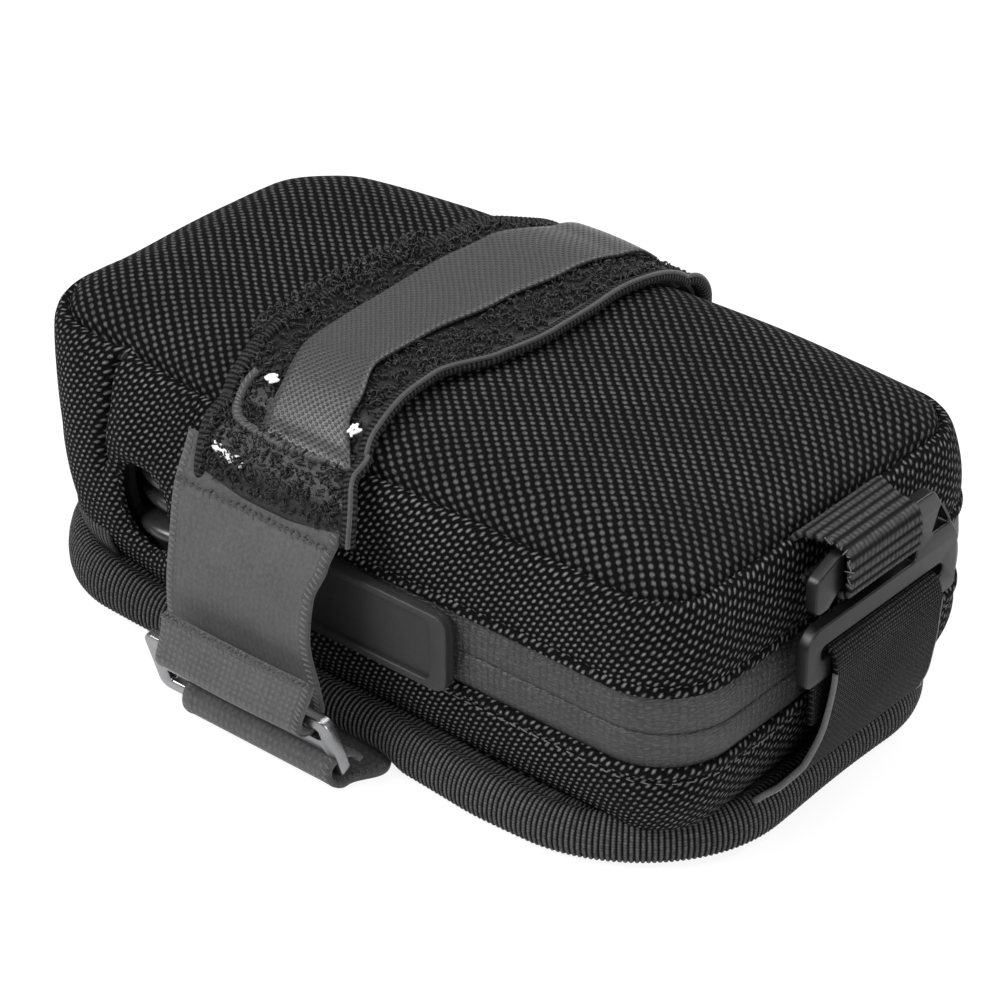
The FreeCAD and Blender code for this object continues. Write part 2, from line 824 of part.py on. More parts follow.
parts = {
    "top_panel": topPanel(),
    "top_foam": topFoam(),
    "top_seam_tape": topSeamTape(),
    "upper_gusset": upperGusset(),
    "upper_welt": upperWelt(),
    "upper_zip_tape": upperZipTape(),
    "lower_zip_tape": lowerZipTape(),
    "lower_welt": lowerWelt(),
    "lower_gusset": lowerGusset(),
    "spine_panel": spinePanel(),
    "port_binding": portBinding(),
    "pod_liner": podLiner(),
    "pod_floor": podFloor(),
    "floor_foam": floorFoam(),
    "divider": divider(),
    "zip_coil": zipCoil(),
    "zip_stops": zipStops(),
    "zip_slider": zipSlider(),
    "zip_pull": zipPull(),
    "spare_tube": spareTube(),
    "wrap_outer_cloth": wrapOuterCloth(),
    "wrap_foam": wrapFoamCore(),
    "wrap_lining": wrapInnerLining(),
    "wrap_binding": wrapBinding(),
    "spine_hinge": spineHinge(),
    "pile_strap": pileStrap(),
    "pile_edge_left": pileEdge(-1),
    "pile_edge_right": pileEdge(1),
    "rail_ribbon": railRibbon(),
    "ribbon_slot_edge": ribbonSlotEdge(),
    "bar_tack_row": barTackRow(),
    "cinch_strap": cinchStrap(),
    "three_bar_buckle": buckle(),
    "lower_strap": lowerStrap(),
    "under_strap": underStrap(),
    "far_strap": farStrap(),
    "wing_near": wing(-1),
    "wing_far": wing(1),
    "g_hook": gHook(),
    "hook_tab": hookTab(),
    "hook_tab_back": hookTabBack(),
    "webbing_loop": webbingLoop(),
}

os.makedirs("parts", exist_ok=True)
for name, shape in parts.items():
    shape.exportStep("parts/" + name + ".step")
    low = shape.BoundBox
    print(name, len(shape.Solids), round(shape.Volume), shape.isValid(),
          [round(value, 1) for value in (low.XMin, low.XMax, low.YMin, low.YMax, low.ZMin, low.ZMax)])
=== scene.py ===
import math
import bmesh
import bpy
import numpy as np
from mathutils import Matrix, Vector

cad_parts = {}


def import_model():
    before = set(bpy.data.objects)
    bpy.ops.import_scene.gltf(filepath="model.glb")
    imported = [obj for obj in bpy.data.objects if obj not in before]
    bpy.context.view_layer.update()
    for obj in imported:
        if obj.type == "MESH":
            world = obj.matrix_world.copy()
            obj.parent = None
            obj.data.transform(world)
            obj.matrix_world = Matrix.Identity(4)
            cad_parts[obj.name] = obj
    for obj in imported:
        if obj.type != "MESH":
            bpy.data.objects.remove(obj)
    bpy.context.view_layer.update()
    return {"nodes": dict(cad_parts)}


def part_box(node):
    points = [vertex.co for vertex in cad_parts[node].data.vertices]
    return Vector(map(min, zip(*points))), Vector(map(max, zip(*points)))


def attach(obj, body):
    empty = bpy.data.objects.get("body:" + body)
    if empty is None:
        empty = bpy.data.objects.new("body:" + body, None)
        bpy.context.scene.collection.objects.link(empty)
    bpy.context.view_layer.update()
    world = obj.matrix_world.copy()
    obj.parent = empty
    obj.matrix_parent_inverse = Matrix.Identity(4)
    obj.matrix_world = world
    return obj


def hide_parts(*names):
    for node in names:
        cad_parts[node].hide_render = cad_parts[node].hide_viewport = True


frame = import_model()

mm = 0.001
rng = np.random.default_rng(11)
print("stage: frame loaded")


# Mesh helpers. Every shape below is worked out in millimetres and put into its mesh in metres.

def size(node):
    # lowest and highest corner of a CAD node, in millimetres
    return np.array(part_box(node), float).reshape(2, 3) / mm


def unit(vectors):
    return vectors / np.maximum(np.linalg.norm(vectors, axis=-1, keepdims=True), 1e-9)


def curveThrough(points, count):
    # Catmull-Rom curve through the points, sampled at even lengths
    knots = np.array(points, float)
    knots = np.vstack([2 * knots[0] - knots[1], knots, 2 * knots[-1] - knots[-2]])
    t = np.linspace(0, 1, 24, endpoint=False)[:, None]
    spans = []
    for a, b, c, d in zip(knots, knots[1:], knots[2:], knots[3:]):
        spans.append(0.5 * (2 * b + (c - a) * t + (2 * a - 5 * b + 4 * c - d) * t ** 2
                            + (3 * b - a - 3 * c + d) * t ** 3))
    return evenly(np.vstack(spans + [knots[-2][None]]), count)


def evenly(line, count):
    # the same polyline with its points spaced evenly along its length
    run = np.concatenate([[0], np.cumsum(np.linalg.norm(np.diff(line, axis=0), axis=1))])
    at = np.linspace(0, run[-1], count)
    return np.stack([np.interp(at, run, line[:, k]) for k in range(line.shape[1])], 1)


def lengthAlong(line):
    return np.concatenate([[0], np.cumsum(np.linalg.norm(np.diff(line, axis=0), axis=1))])


def valueAt(keys, values, at):
    # smooth value between given stations, by cosine steps
    keys, values = np.array(keys, float), np.array(values, float)
    at = np.clip(at, keys[0], keys[-1])
    k = np.clip(np.searchsorted(keys, at) - 1, 0, len(keys) - 2)
    t = (at - keys[k]) / (keys[k + 1] - keys[k])
    t = t * t * (3 - 2 * t)
    return values[k] * (1 - t) + values[k + 1] * t


def bump(at, middle, width):
    # bell of height 1
    return np.exp(-((at - middle) / width) ** 2)


class Shell:
    # gathers grids of quads, then becomes one mesh object
    def __init__(self):
        self.points, self.faces, self.uvs, self.slots, self.count = [], [], [], [], 0

    def patch(self, points, faces, uvs, slot=0):
        self.points.append(points)
        self.faces.append(faces + self.count)
        self.uvs.append(uvs)
        self.slots.append(np.full(len(faces), slot))
        self.count += len(points)

    def grid(self, points, uv, closedU=False, closedV=False, slot=0, keep=None):
        # points[i, j] is the surface at (u, v); uv has one more row or column where the grid closes
        rows, cols = points.shape[:2]
        i, j = np.meshgrid(np.arange(rows - (not closedU)), np.arange(cols - (not closedV)), indexing="ij")
        a, b = (i + 1) % rows, (j + 1) % cols
        faces = np.stack([i * cols + j, a * cols + j, a * cols + b, i * cols + b], -1).reshape(-1, 4)
        corners = np.stack([uv[i, j], uv[i + 1, j], uv[i + 1, j + 1], uv[i, j + 1]], 2).reshape(-1, 4, 2)
        if keep is not None:
            chosen = keep[i, j].ravel()
            faces, corners = faces[chosen], corners[chosen]
        self.patch(points.reshape(-1, 3), faces, corners, slot)

    def scatter(self, template, faces, centres, axes, slot=0):
        # copies of a small template; axes holds each copy's three scaled directions as rows
        copies = centres[:, None, :] + np.einsum("pk,ckd->cpd", template, axes)
        count, each = copies.shape[:2]
        corners = (faces[None] + (np.arange(count) * each)[:, None, None]).reshape(-1, 4)
        uv = copies.reshape(-1, 3)[corners][..., :2]
        self.patch(copies.reshape(-1, 3), corners, uv, slot)

    def build(self, name, body, slot, paints, replaces=(), smooth=True, merge=0.002):
        points = np.vstack(self.points) * mm
        faces = np.vstack(self.faces).astype(np.int32)
        mesh = bpy.data.meshes.new(name)
        mesh.vertices.add(len(points))
        mesh.vertices.foreach_set("co", points.astype(np.float32).ravel())
        mesh.loops.add(faces.size)
        mesh.loops.foreach_set("vertex_index", faces.ravel())
        mesh.polygons.add(len(faces))
        mesh.polygons.foreach_set("loop_start", np.arange(0, faces.size, 4, dtype=np.int32))
        mesh.update(calc_edges=True)
        layer = mesh.uv_layers.new(name="fabric")
        layer.data.foreach_set("uv", np.concatenate(self.uvs).astype(np.float32).ravel())
        mesh.polygons.foreach_set("material_index", np.concatenate(self.slots).astype(np.int32))
        for paint in paints:
            mesh.materials.append(paint)
        tidyMesh(mesh, merge * mm, smooth)
        return place(name, mesh, body, slot, replaces)


def tidyMesh(mesh, merge, smooth):
    # merges doubles, drops collapsed faces and turns the faces outwards
    work = bmesh.new()
    work.from_mesh(mesh)
    bmesh.ops.remove_doubles(work, verts=work.verts, dist=merge)
    bmesh.ops.dissolve_degenerate(work, edges=work.edges, dist=merge / 4)
    bmesh.ops.recalc_face_normals(work, faces=work.faces)
    for face in work.faces:
        face.smooth = smooth
    work.to_mesh(mesh)
    work.free()


def place(name, mesh, body, slot, replaces=()):
    piece = bpy.data.objects.new(name, mesh)
    bpy.context.scene.collection.objects.link(piece)
    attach(piece, body)
    if replaces:
        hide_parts(*replaces)
    return piece


def surfaceNormals(points):
    # unit normals of a grid, from its two directions
    return unit(np.cross(np.gradient(points, axis=0), np.gradient(points, axis=1)))


def slabGrid(points, thick):
    # the grid as the middle of a sheet: both skins as one closed section, the ends drawn together
    normals = surfaceNormals(points)
    half = np.asarray(thick)[..., None] / 2 if np.ndim(thick) else thick / 2
    front, back = points + normals * half, points - normals * half
    middle = (front + back) / 2
    section = np.concatenate([front, back[:, ::-1]], 1)
    end = np.concatenate([middle, middle[:, ::-1]], 1)
    return np.concatenate([end[:1], section, end[-1:]])


def slabUv(uv):
    # the same place in the cloth for both skins of slabGrid
    both = np.concatenate([uv, uv[:, ::-1], uv[:, :1]], 1)
    return np.concatenate([both[:1], both, both[-1:]])


def sheetOf(shell, points, uv, thick, slot=0):
    # cloth of the given thickness with the grid as its middle
    shell.grid(slabGrid(points, thick), slabUv(uv), closedV=True, slot=slot)


def squareTo(path):
    # unit directions square to a line of (y, z) points, a quarter turn from its heading
    tangent = unit(np.gradient(path, axis=0))
    return np.stack([-tangent[:, 1], tangent[:, 0]], 1)


def inSpace(flat):
    # (y, z) directions as directions in space
    return np.concatenate([0 * flat[:, :1], flat], 1)


def frameAlong(line, up):
    # tangent, side and up directions along a line, with up held near the given directions
    tangent = unit(np.gradient(line, axis=0))
    side = unit(np.cross(tangent, up))
    return tangent, side, np.cross(side, tangent)


def tubeAlong(shell, line, up, sideRadius, upRadius, sides=10, power=2.0, slot=0, closed=False):
    # super-ellipse section carried along a line, its two ends closed to points
    tangent, side, high = frameAlong(line, up)
    if closed:
        loop = np.vstack([line[-2:], line, line[:2]])
        tangent = unit(np.gradient(loop, axis=0))[2:-2]
        side = unit(np.cross(tangent, up))
        high = np.cross(side, tangent)
    angle = np.linspace(0, 2 * math.pi, sides, endpoint=False)
    c, s = np.cos(angle), np.sin(angle)
    c, s = np.sign(c) * np.abs(c) ** (2 / power), np.sign(s) * np.abs(s) ** (2 / power)
    a = np.broadcast_to(np.asarray(sideRadius, float), len(line))[:, None, None]
    b = np.broadcast_to(np.asarray(upRadius, float), len(line))[:, None, None]
    rings = line[:, None] + side[:, None] * c[None, :, None] * a + high[:, None] * s[None, :, None] * b
    along = lengthAlong(line)
    around = np.linspace(0, 1, sides + 1) * 2 * math.pi * float(np.mean(a) + np.mean(b)) / 2
    if closed:
        step = along[-1] + np.linalg.norm(line[-1] - line[0])
        uv = np.stack(np.meshgrid(np.append(along, step), around, indexing="ij"), -1)
        shell.grid(rings, uv, closedU=True, closedV=True, slot=slot)
        return
    first = np.repeat(line[:1, None], sides, 1)
    last = np.repeat(line[-1:, None], sides, 1)
    rings = np.concatenate([first, rings, last])
    along = np.concatenate([along[:1], along, along[-1:]])
    shell.grid(rings, np.stack(np.meshgrid(along, around, indexing="ij"), -1), closedV=True, slot=slot)


def capsule(lengths=5, sides=6):
    # unit stitch: length along x from -1 to 1, round section of radius 1
    t = np.linspace(0, math.pi, lengths)
    a = np.linspace(0, 2 * math.pi, sides, endpoint=False)
    r = np.sin(t) ** 0.6
    x = np.repeat(-np.cos(t)[:, None], sides, 1)
    grid = np.stack([x, r[:, None] * np.cos(a), r[:, None] * np.sin(a)], -1)
    i, j = np.meshgrid(np.arange(lengths - 1), np.arange(sides), indexing="ij")
    b = (j + 1) % sides
    faces = np.stack([i * sides + j, i * sides + b, (i + 1) * sides + b, (i + 1) * sides + j], -1)
    return grid.reshape(-1, 3), faces.reshape(-1, 4)


def loopTemplate(steps=6, sides=3, thick=0.22):
    # small arch of yarn standing on x, its top at z = 1
    t = np.linspace(0, math.pi, steps)
    centre = np.stack([np.cos(t), 0 * t, np.sin(t)], -1)
    a = np.linspace(0, 2 * math.pi, sides, endpoint=False)
    ring = centre[:, None] * np.cos(a)[None, :, None] + np.array([0, 1, 0]) * np.sin(a)[None, :, None]
    grid = centre[:, None] + ring * thick
    i, j = np.meshgrid(np.arange(steps - 1), np.arange(sides), indexing="ij")
    b = (j + 1) % sides
    faces = np.stack([i * sides + j, (i + 1) * sides + j, (i + 1) * sides + b, i * sides + b], -1)
    faces = faces.reshape(-1, 4)
    ends = [[0, 1, 2, 2], [(steps - 1) * sides + k for k in (2, 1, 0, 0)]]
    return grid.reshape(-1, 3), np.vstack([faces, np.array(ends)])


def addStitches(shell, line, up, pitch, length, width, proud, skew=0.0, slot=0, jitter=0.0):
    # a row of separate stitches along a line; skew turns each one across the line
    count = max(int(lengthAlong(line)[-1] / pitch), 2)
    centres = evenly(np.hstack([line, up]), count + 1)
    middle = (centres[1:, :3] + centres[:-1, :3]) / 2
    high = unit((centres[1:, 3:] + centres[:-1, 3:]) / 2)
    along = unit(centres[1:, :3] - centres[:-1, :3])
    side = unit(np.cross(high, along))
    turn = skew + jitter * rng.normal(size=count)
    forward = along * np.cos(turn)[:, None] + side * np.sin(turn)[:, None]
    across = np.cross(high, forward)
    scale = 1 + 0.8 * jitter * rng.normal(size=(count, 1))
    axes = np.stack([forward * length / 2 * scale, across * width / 2, high * width / 2], 1)
    template, faces = capsule()
    shell.scatter(template, faces, middle + high * proud, axes, slot)


def plateFrom(outline, holes, thick, edge):
    # flat outline with rounded corners and holes, given thickness and a rounded rim by a filled curve
    curve = bpy.data.curves.new("plate", "CURVE")
    curve.dimensions = "2D"
    curve.fill_mode = "BOTH"
    curve.extrude = (thick / 2 - edge) * mm
    curve.bevel_depth = edge * mm
    curve.bevel_resolution = 3
    curve.offset = -edge * mm
    for ring in [outline] + holes:
        spline = curve.splines.new("POLY")
        spline.points.add(len(ring) - 1)
        flat = np.zeros((len(ring), 4))
        flat[:, :2] = ring * mm
        flat[:, 3] = 1
        spline.points.foreach_set("co", flat.ravel())
        spline.use_cyclic_u = True
    holder = bpy.data.objects.new("plate", curve)
    bpy.context.scene.collection.objects.link(holder)
    mesh = bpy.data.meshes.new_from_object(holder.evaluated_get(bpy.context.evaluated_depsgraph_get()))
    bpy.data.objects.remove(holder)
    bpy.data.curves.remove(curve)
    return mesh


def roundCorners(corners, radii, steps=8):
    # polygon whose corners are arcs of the given radii
    corners = np.array(corners, float)
    ring = []
    for k, radius in enumerate(radii):
        here = corners[k]
        back = unit(corners[k - 1] - here)
        ahead = unit(corners[(k + 1) % len(corners)] - here)
        half = math.acos(np.clip(back @ ahead, -1, 1)) / 2
        middle = here + unit(back + ahead) * radius / math.sin(half)
        start = here + back * radius / math.tan(half) - middle
        end = here + ahead * radius / math.tan(half) - middle
        sweep = math.atan2(start[0] * end[1] - start[1] * end[0], start @ end)
        a = np.linspace(0, sweep, steps)
        ring.append(middle + np.stack([start[0] * np.cos(a) - start[1] * np.sin(a),
                                       start[0] * np.sin(a) + start[1] * np.cos(a)], 1))
    return np.vstack(ring)


def standPlates(name, plates, origin, right, up, body, slot, paints, replaces):
    # puts flat plates, each with its own shift along the plates' normal, into one mesh in its place
    right, up = np.array(right, float), np.array(up, float)
    out = np.cross(right, up)
    work = bmesh.new()
    for index, (mesh, shift) in enumerate(plates):
        flat = np.empty(len(mesh.vertices) * 3)
        mesh.vertices.foreach_get("co", flat)
        flat = flat.reshape(-1, 3) / mm
        placed = np.array(origin) + flat[:, :1] * right + flat[:, 1:2] * up + (flat[:, 2:] + shift) * out
        mesh.vertices.foreach_set("co", (placed * mm).ravel())
        part = bmesh.new()
        part.from_mesh(mesh)
        bmesh.ops.remove_doubles(part, verts=part.verts, dist=0.005 * mm)
        bmesh.ops.recalc_face_normals(part, faces=part.faces)
        for face in part.faces:
            face.material_index = min(index, len(paints) - 1)
        part.to_mesh(mesh)
        part.free()
        work.from_mesh(mesh)
        bpy.data.meshes.remove(mesh)
    joined = bpy.data.meshes.new(name)
    work.to_mesh(joined)
    work.free()
    for paint in paints:
        joined.materials.append(paint)
    for polygon in joined.polygons:
        polygon.use_smooth = True
    joined.set_sharp_from_angle(angle=math.radians(28))
    return place(name, joined, body, slot, replaces)


# Materials. Num carries a number that varies over the surface; arithmetic on it adds Math nodes.

class Num:
    def __init__(self, paint, socket):
        self.paint, self.socket = paint, socket

    def math(self, operation, *values):
        return Num(self.paint, self.paint.node("ShaderNodeMath", {"operation": operation}, values).outputs[0])

    def __add__(self, other):
        return self.math("ADD", self, other)

    def __sub__(self, other):
        return self.math("SUBTRACT", self, other)

    def __rsub__(self, other):
        return self.math("SUBTRACT", other, self)

    def __mul__(self, other):
        return self.math("MULTIPLY", self, other)

    def __truediv__(self, other):
        return self.math("DIVIDE", self, other)

    def __pow__(self, other):
        return self.math("POWER", self, other)

    __radd__, __rmul__ = __add__, __mul__

    def fract(self):
        return self.math("FRACT", self)

    def floor(self):
        return self.math("FLOOR", self)

    def sine(self):
        return self.math("SINE", self)

    def size(self):
        return self.math("ABSOLUTE", self)

    def larger(self, other):
        return self.math("MAXIMUM", self, other)

    def step(self, low, high, start=0.0, end=1.0):
        # smooth step from start at low to end at high
        settings = {"interpolation_type": "SMOOTHSTEP"}
        made = self.paint.node("ShaderNodeMapRange", settings, [self, low, high, start, end])
        return Num(self.paint, made.outputs[0])


class Paint:
    # one Principled material; varying values go only to colour, roughness and normal
    def __init__(self, name, coordinates="UV", **fixed):
        self.material = bpy.data.materials.new(name)
        self.material.use_nodes = True
        self.tree = self.material.node_tree
        self.tree.nodes.clear()
        self.shader = self.node("ShaderNodeBsdfPrincipled", {}, fixed)
        self.node("ShaderNodeOutputMaterial", {}, {"Surface": self.shader.outputs[0]})
        source = self.node("ShaderNodeTexCoord").outputs[coordinates]
        # both kinds of place are read in millimetres
        values = {"Vector": source, "Scale": 1.0 if coordinates == "UV" else 1 / mm}
        self.where = self.node("ShaderNodeVectorMath", {"operation": "SCALE"}, values).outputs[0]
        split = self.node("ShaderNodeSeparateXYZ", {}, [self.where])
        self.u, self.v, self.w = (Num(self, output) for output in split.outputs)

    def node(self, kind, settings=None, values=()):
        # values are plain values, sockets or Nums, listed in order or named by input
        made = self.tree.nodes.new(kind)
        for key, value in (settings or {}).items():
            setattr(made, key, value)
        pairs = values.items() if isinstance(values, dict) else enumerate(values)
        for key, value in pairs:
            socket = made.inputs[key]
            value = value.socket if isinstance(value, Num) else value
            if isinstance(value, bpy.types.NodeSocket):
                self.tree.links.new(value, socket)
            else:
                socket.default_value = value
        return made

    def noise(self, scale, detail=2.0, stretch=(1, 1, 1), roughness=0.5):
        # scale is in waves per millimetre
        place = self.node("ShaderNodeVectorMath", {"operation": "MULTIPLY"}, [self.where, stretch]).outputs[0]
        values = {"Vector": place, "Scale": scale, "Detail": detail, "Roughness": roughness}
        return Num(self, self.node("ShaderNodeTexNoise", {}, values).outputs[0])

    def colours(self, amount, dark, light):
        values = {0: amount, 6: (*dark, 1), 7: (*light, 1)}
        return self.node("ShaderNodeMix", {"data_type": "RGBA"}, values).outputs[2]

    def finish(self, colour, roughness, height, depth):
        # height is 0 to 1, and depth its real depth in millimetres
        self.tree.links.new(colour, self.shader.inputs["Base Color"])
        self.tree.links.new(roughness.socket, self.shader.inputs["Roughness"])
        relief = self.node("ShaderNodeBump", {}, {"Strength": 1.0, "Distance": depth * mm, "Height": height})
        self.tree.links.new(relief.outputs[0], self.shader.inputs["Normal"])
        return self.material


def grey(value, blue=1.03):
    return (value, value, value * blue)


def ribWeave(paint, look, wander):
    # grains in slanted columns: across counts the columns, along counts the grains in one
    x, y = paint.u + wander, paint.v + wander
    across = x * look["across"][0] + y * look["across"][1]
    along = x * look["along"][0] + y * look["along"][1]
    column = ((across * math.pi).sine()) ** 2
    odd = (across.floor() * 0.5).fract() * 2
    grain = (((along + odd * look["stagger"]) * math.pi).sine()) ** 2
    return column ** 0.8 * (1 - look["cut"] + grain * look["cut"])


def weaveHeight(u, v, pitch, dull):
    # plain weave: each cell shows one oblong yarn, turned in every other cell; dull lowers the second kind
    a, b = u / pitch, v / pitch
    second = ((a.floor() + b.floor()) * 0.5).fract() * 2
    across = 1 - (a.fract() * 2 - 1) ** 2
    along = 1 - (b.fract() * 2 - 1) ** 2
    first = across * along ** 0.35
    other = (across ** 0.35) * along * dull
    return first * (1 - second) + other * second


def basketCloth(name, look, coordinates="UV"):
    # painted shade between the yarns and a painted highlight on their crowns, uneven from yarn to yarn and worn in
    # broad patches
    paint = Paint(name, coordinates, **{"Specular IOR Level": look["gloss"]})
    wander = paint.noise(0.3, 2.0) * look["wander"]
    if "across" in look:
        height = ribWeave(paint, look, wander)
    else:
        height = weaveHeight(paint.u + wander, paint.v + wander, look["pitch"], look["dull"])
    yarns = paint.noise(1.5, 3.0, roughness=0.65)
    wear = paint.noise(0.05, 3.0).step(0.35, 0.7)
    # colour follows the yarns' height: painted shade in the gaps, painted highlight on the crowns
    level = height.step(0.3, 0.95) * yarns.step(0.25, 0.75, 0.3, 1.45) * (0.8 + wear * 0.3)
    colour = paint.colours(level, grey(look["dark"]), grey(look["light"]))
    fine = paint.noise(5.0, 2.0) * 0.22
    return paint.finish(colour, 0.9 - level * 0.2, height * (0.7 + yarns * 0.6) + fine, look["depth"])


# in these looks dark is the painted shade between the yarns and light is the painted highlight on their crowns
clothLook = {"across": (0.380, 0.4325), "along": (0.362, -0.513), "stagger": 0.0, "cut": 0.6,
             "gloss": 0.1, "wander": 0.6, "dark": 0.0008, "light": 0.085, "depth": 0.5}
sideLook = {"across": (0.744, -0.410), "along": (-0.051, 0.708), "stagger": 0.3, "cut": 0.8,
            "gloss": 0.1, "wander": 0.7, "dark": 0.0006, "light": 0.15, "depth": 0.6}
fineLook = {"pitch": 0.62, "wander": 0.15, "dull": 0.8, "gloss": 0.12, "dark": 0.0006, "light": 0.042,
            "depth": 0.22}
liningLook = {"pitch": 0.5, "wander": 0.1, "dull": 0.9, "gloss": 0.2, "dark": 0.01, "light": 0.03, "depth": 0.12}


def ribbedTape(name, look):
    # beads of thread on each rib, lighter as a painted highlight, with painted shade between the ribs; the ribs
    # themselves are in the mesh or across u
    paint = Paint(name, **{"Specular IOR Level": 0.18})
    rib = ((paint.u * (math.pi / look["pitch"])).sine()).size()
    bead = ((paint.v * (math.pi / look["bead"]) + paint.noise(0.6, 1.0) * 2).sine()).size()
    tone = paint.noise(1.2, 3.0)
    # colour follows ribs and beads: painted shade between the ribs, painted highlight on the beads
    level = rib.step(0.3, 1.0) * (0.4 + bead * 0.6) * tone.step(0.25, 0.75, 0.5, 1.3)
    colour = paint.colours(level, grey(look["dark"]), grey(look["light"]))
    return paint.finish(colour, 0.86 - level * 0.2, rib * 0.75 + bead * 0.25, look["depth"])


# in these looks dark is the painted shade between the ribs and light is the painted highlight on the beads
bindingLook = {"pitch": 1.1, "bead": 0.6, "dark": 0.001, "light": 0.085, "depth": 0.3}
edgeLook = {"pitch": 0.95, "bead": 0.5, "dark": 0.001, "light": 0.03, "depth": 0.22}
webbingLook = {"pitch": 2.05, "bead": 1.25, "dark": 0.002, "light": 0.05, "depth": 0.25}
weltLook = {"pitch": 0.9, "bead": 0.5, "dark": 0.0015, "light": 0.03, "depth": 0.2}


def coatedTape(name):
    # satin coating over a fine slanted knit, with long streaks
    paint = Paint(name, **{"Specular IOR Level": 0.5})
    slant = paint.u * 0.18 + paint.v
    along = paint.u * 0.42 + paint.noise(0.7, 1.0) * 0.7
    knit = weaveHeight(along, slant + paint.noise(0.9, 1.0) * 0.5, 0.62, 0.5)
    streak = paint.noise(0.5, 4.0, stretch=(0.25, 1.6, 1.6), roughness=0.7)
    spots = paint.noise(1.3, 3.0, stretch=(0.7, 1.6, 1.6)).step(0.48, 0.72)
    level = knit * 0.45 + streak.step(0.4, 0.7) * 0.25 + spots * 0.4
    colour = paint.colours(level, grey(0.006), grey(0.05))
    return paint.finish(colour, 0.5 - spots * 0.2 + streak * 0.1, knit * 0.8 + spots * 0.4, 0.2)


def pilePaint(name, light):
    # dull black with a glint here and there; light is the glint's grey
    paint = Paint(name, "Object", **{"Sheen Weight": 0.03, "Specular IOR Level": 0.4})
    tone = paint.noise(1.4, 3.0, roughness=0.7)
    colour = paint.colours(tone.step(0.5, 0.75), grey(0.0008), grey(light))
    return paint.finish(colour, 0.66 - tone * 0.3, tone, 0.15)


def satinRibbon(name):
    # fine cross ribs with a small raised diamond at every crossing
    paint = Paint(name, **{"Sheen Weight": 0.1, "Specular IOR Level": 0.5})
    turn = 2 * math.pi / 1.36
    cell = (paint.u * turn).sine() * (paint.v * turn).sine()
    fine = ((paint.u * (math.pi / 0.34)).sine()).size()
    tone = paint.noise(0.6, 3.0)
    level = cell.step(-0.75, 0.1) * (0.55 + tone * 0.5) * (0.8 + fine * 0.2)
    colour = paint.colours(level, grey(0.0015), grey(0.042))
    return paint.finish(colour, 0.46 - level * 0.12, level, 0.16)


def greyStrap(name, dots):
    # matte, mottled strap; dots adds the woven grid of small light cells
    paint = Paint(name, **{"Specular IOR Level": 0.3, "Sheen Weight": 0.1})
    mottle = paint.noise(1.1, 4.0, roughness=0.7)
    grain = paint.noise(3.6, 2.0)
    turn = math.pi / 1.4
    cell = ((paint.u * turn).sine() * (paint.v * turn).sine()).size()
    broad = paint.noise(0.12, 3.0)
    level = mottle.step(0.3, 0.75) * 0.4 + broad * 0.45 + cell.step(0.5, 1.0) * (0.04 + 0.26 * dots)
    level = level + grain * 0.15
    colour = paint.colours(level, grey(0.022 - 0.006 * dots), grey(0.085))
    height = cell * (0.4 + 0.4 * dots) + grain * 0.5 + mottle * 0.4
    return paint.finish(colour, 0.82 - grain * 0.15, height, 0.14)


def bareMetal(name):
    # brushed along x, with a few duller smears
    paint = Paint(name, "Object", **{"Metallic": 1.0})
    brushed = paint.noise(1.2, 3.0, stretch=(0.2, 3.0, 3.0))
    smear = paint.noise(0.25, 3.0)
    colour = paint.colours(smear, grey(0.18), grey(0.34))
    return paint.finish(colour, 0.2 + brushed * 0.16 + smear.step(0.5, 0.8) * 0.1, brushed, 0.01)


def blackMetal(name, rough=0.3):
    # even, slightly blasted black surface
    paint = Paint(name, "Object", **{"Metallic": 0.3, "Specular IOR Level": 0.5})
    blast = paint.noise(6.0, 2.0)
    smear = paint.noise(0.2, 3.0)
    colour = paint.colours(smear.step(0.4, 0.75), grey(0.003), grey(0.009))
    return paint.finish(colour, rough + blast * 0.1 + smear * 0.08, blast, 0.012)


def mouldedRubber(name, glossy):
    # grained and matt for moulded parts, smooth for the tube
    paint = Paint(name, "Object", **{"Specular IOR Level": 0.5})
    grain = paint.noise(2.6, 3.0, roughness=0.6)
    smear = paint.noise(0.3, 2.0)
    colour = paint.colours(smear, grey(0.012 if glossy else 0.007), grey(0.03 if glossy else 0.014))
    rough = 0.2 + smear * 0.1 if glossy else 0.46 + grain * 0.2
    return paint.finish(colour, rough, grain, 0.015 if glossy else 0.09)


def threadPaint(name, dark, light):
    # twisted yarn: two greys that change along it
    paint = Paint(name, "Object", **{"Sheen Weight": 0.2})
    ply = paint.noise(3.5, 2.0)
    return paint.finish(paint.colours(ply, grey(dark, 0.99), grey(light, 0.99)), 0.7 - ply * 0.1, ply, 0.1)


def plainPaint(name, dark, light, scale, rough, depth):
    paint = Paint(name, "Object")
    tone = paint.noise(scale, 3.0)
    return paint.finish(paint.colours(tone, grey(dark), grey(light)), rough - tone * 0.1, tone, depth)


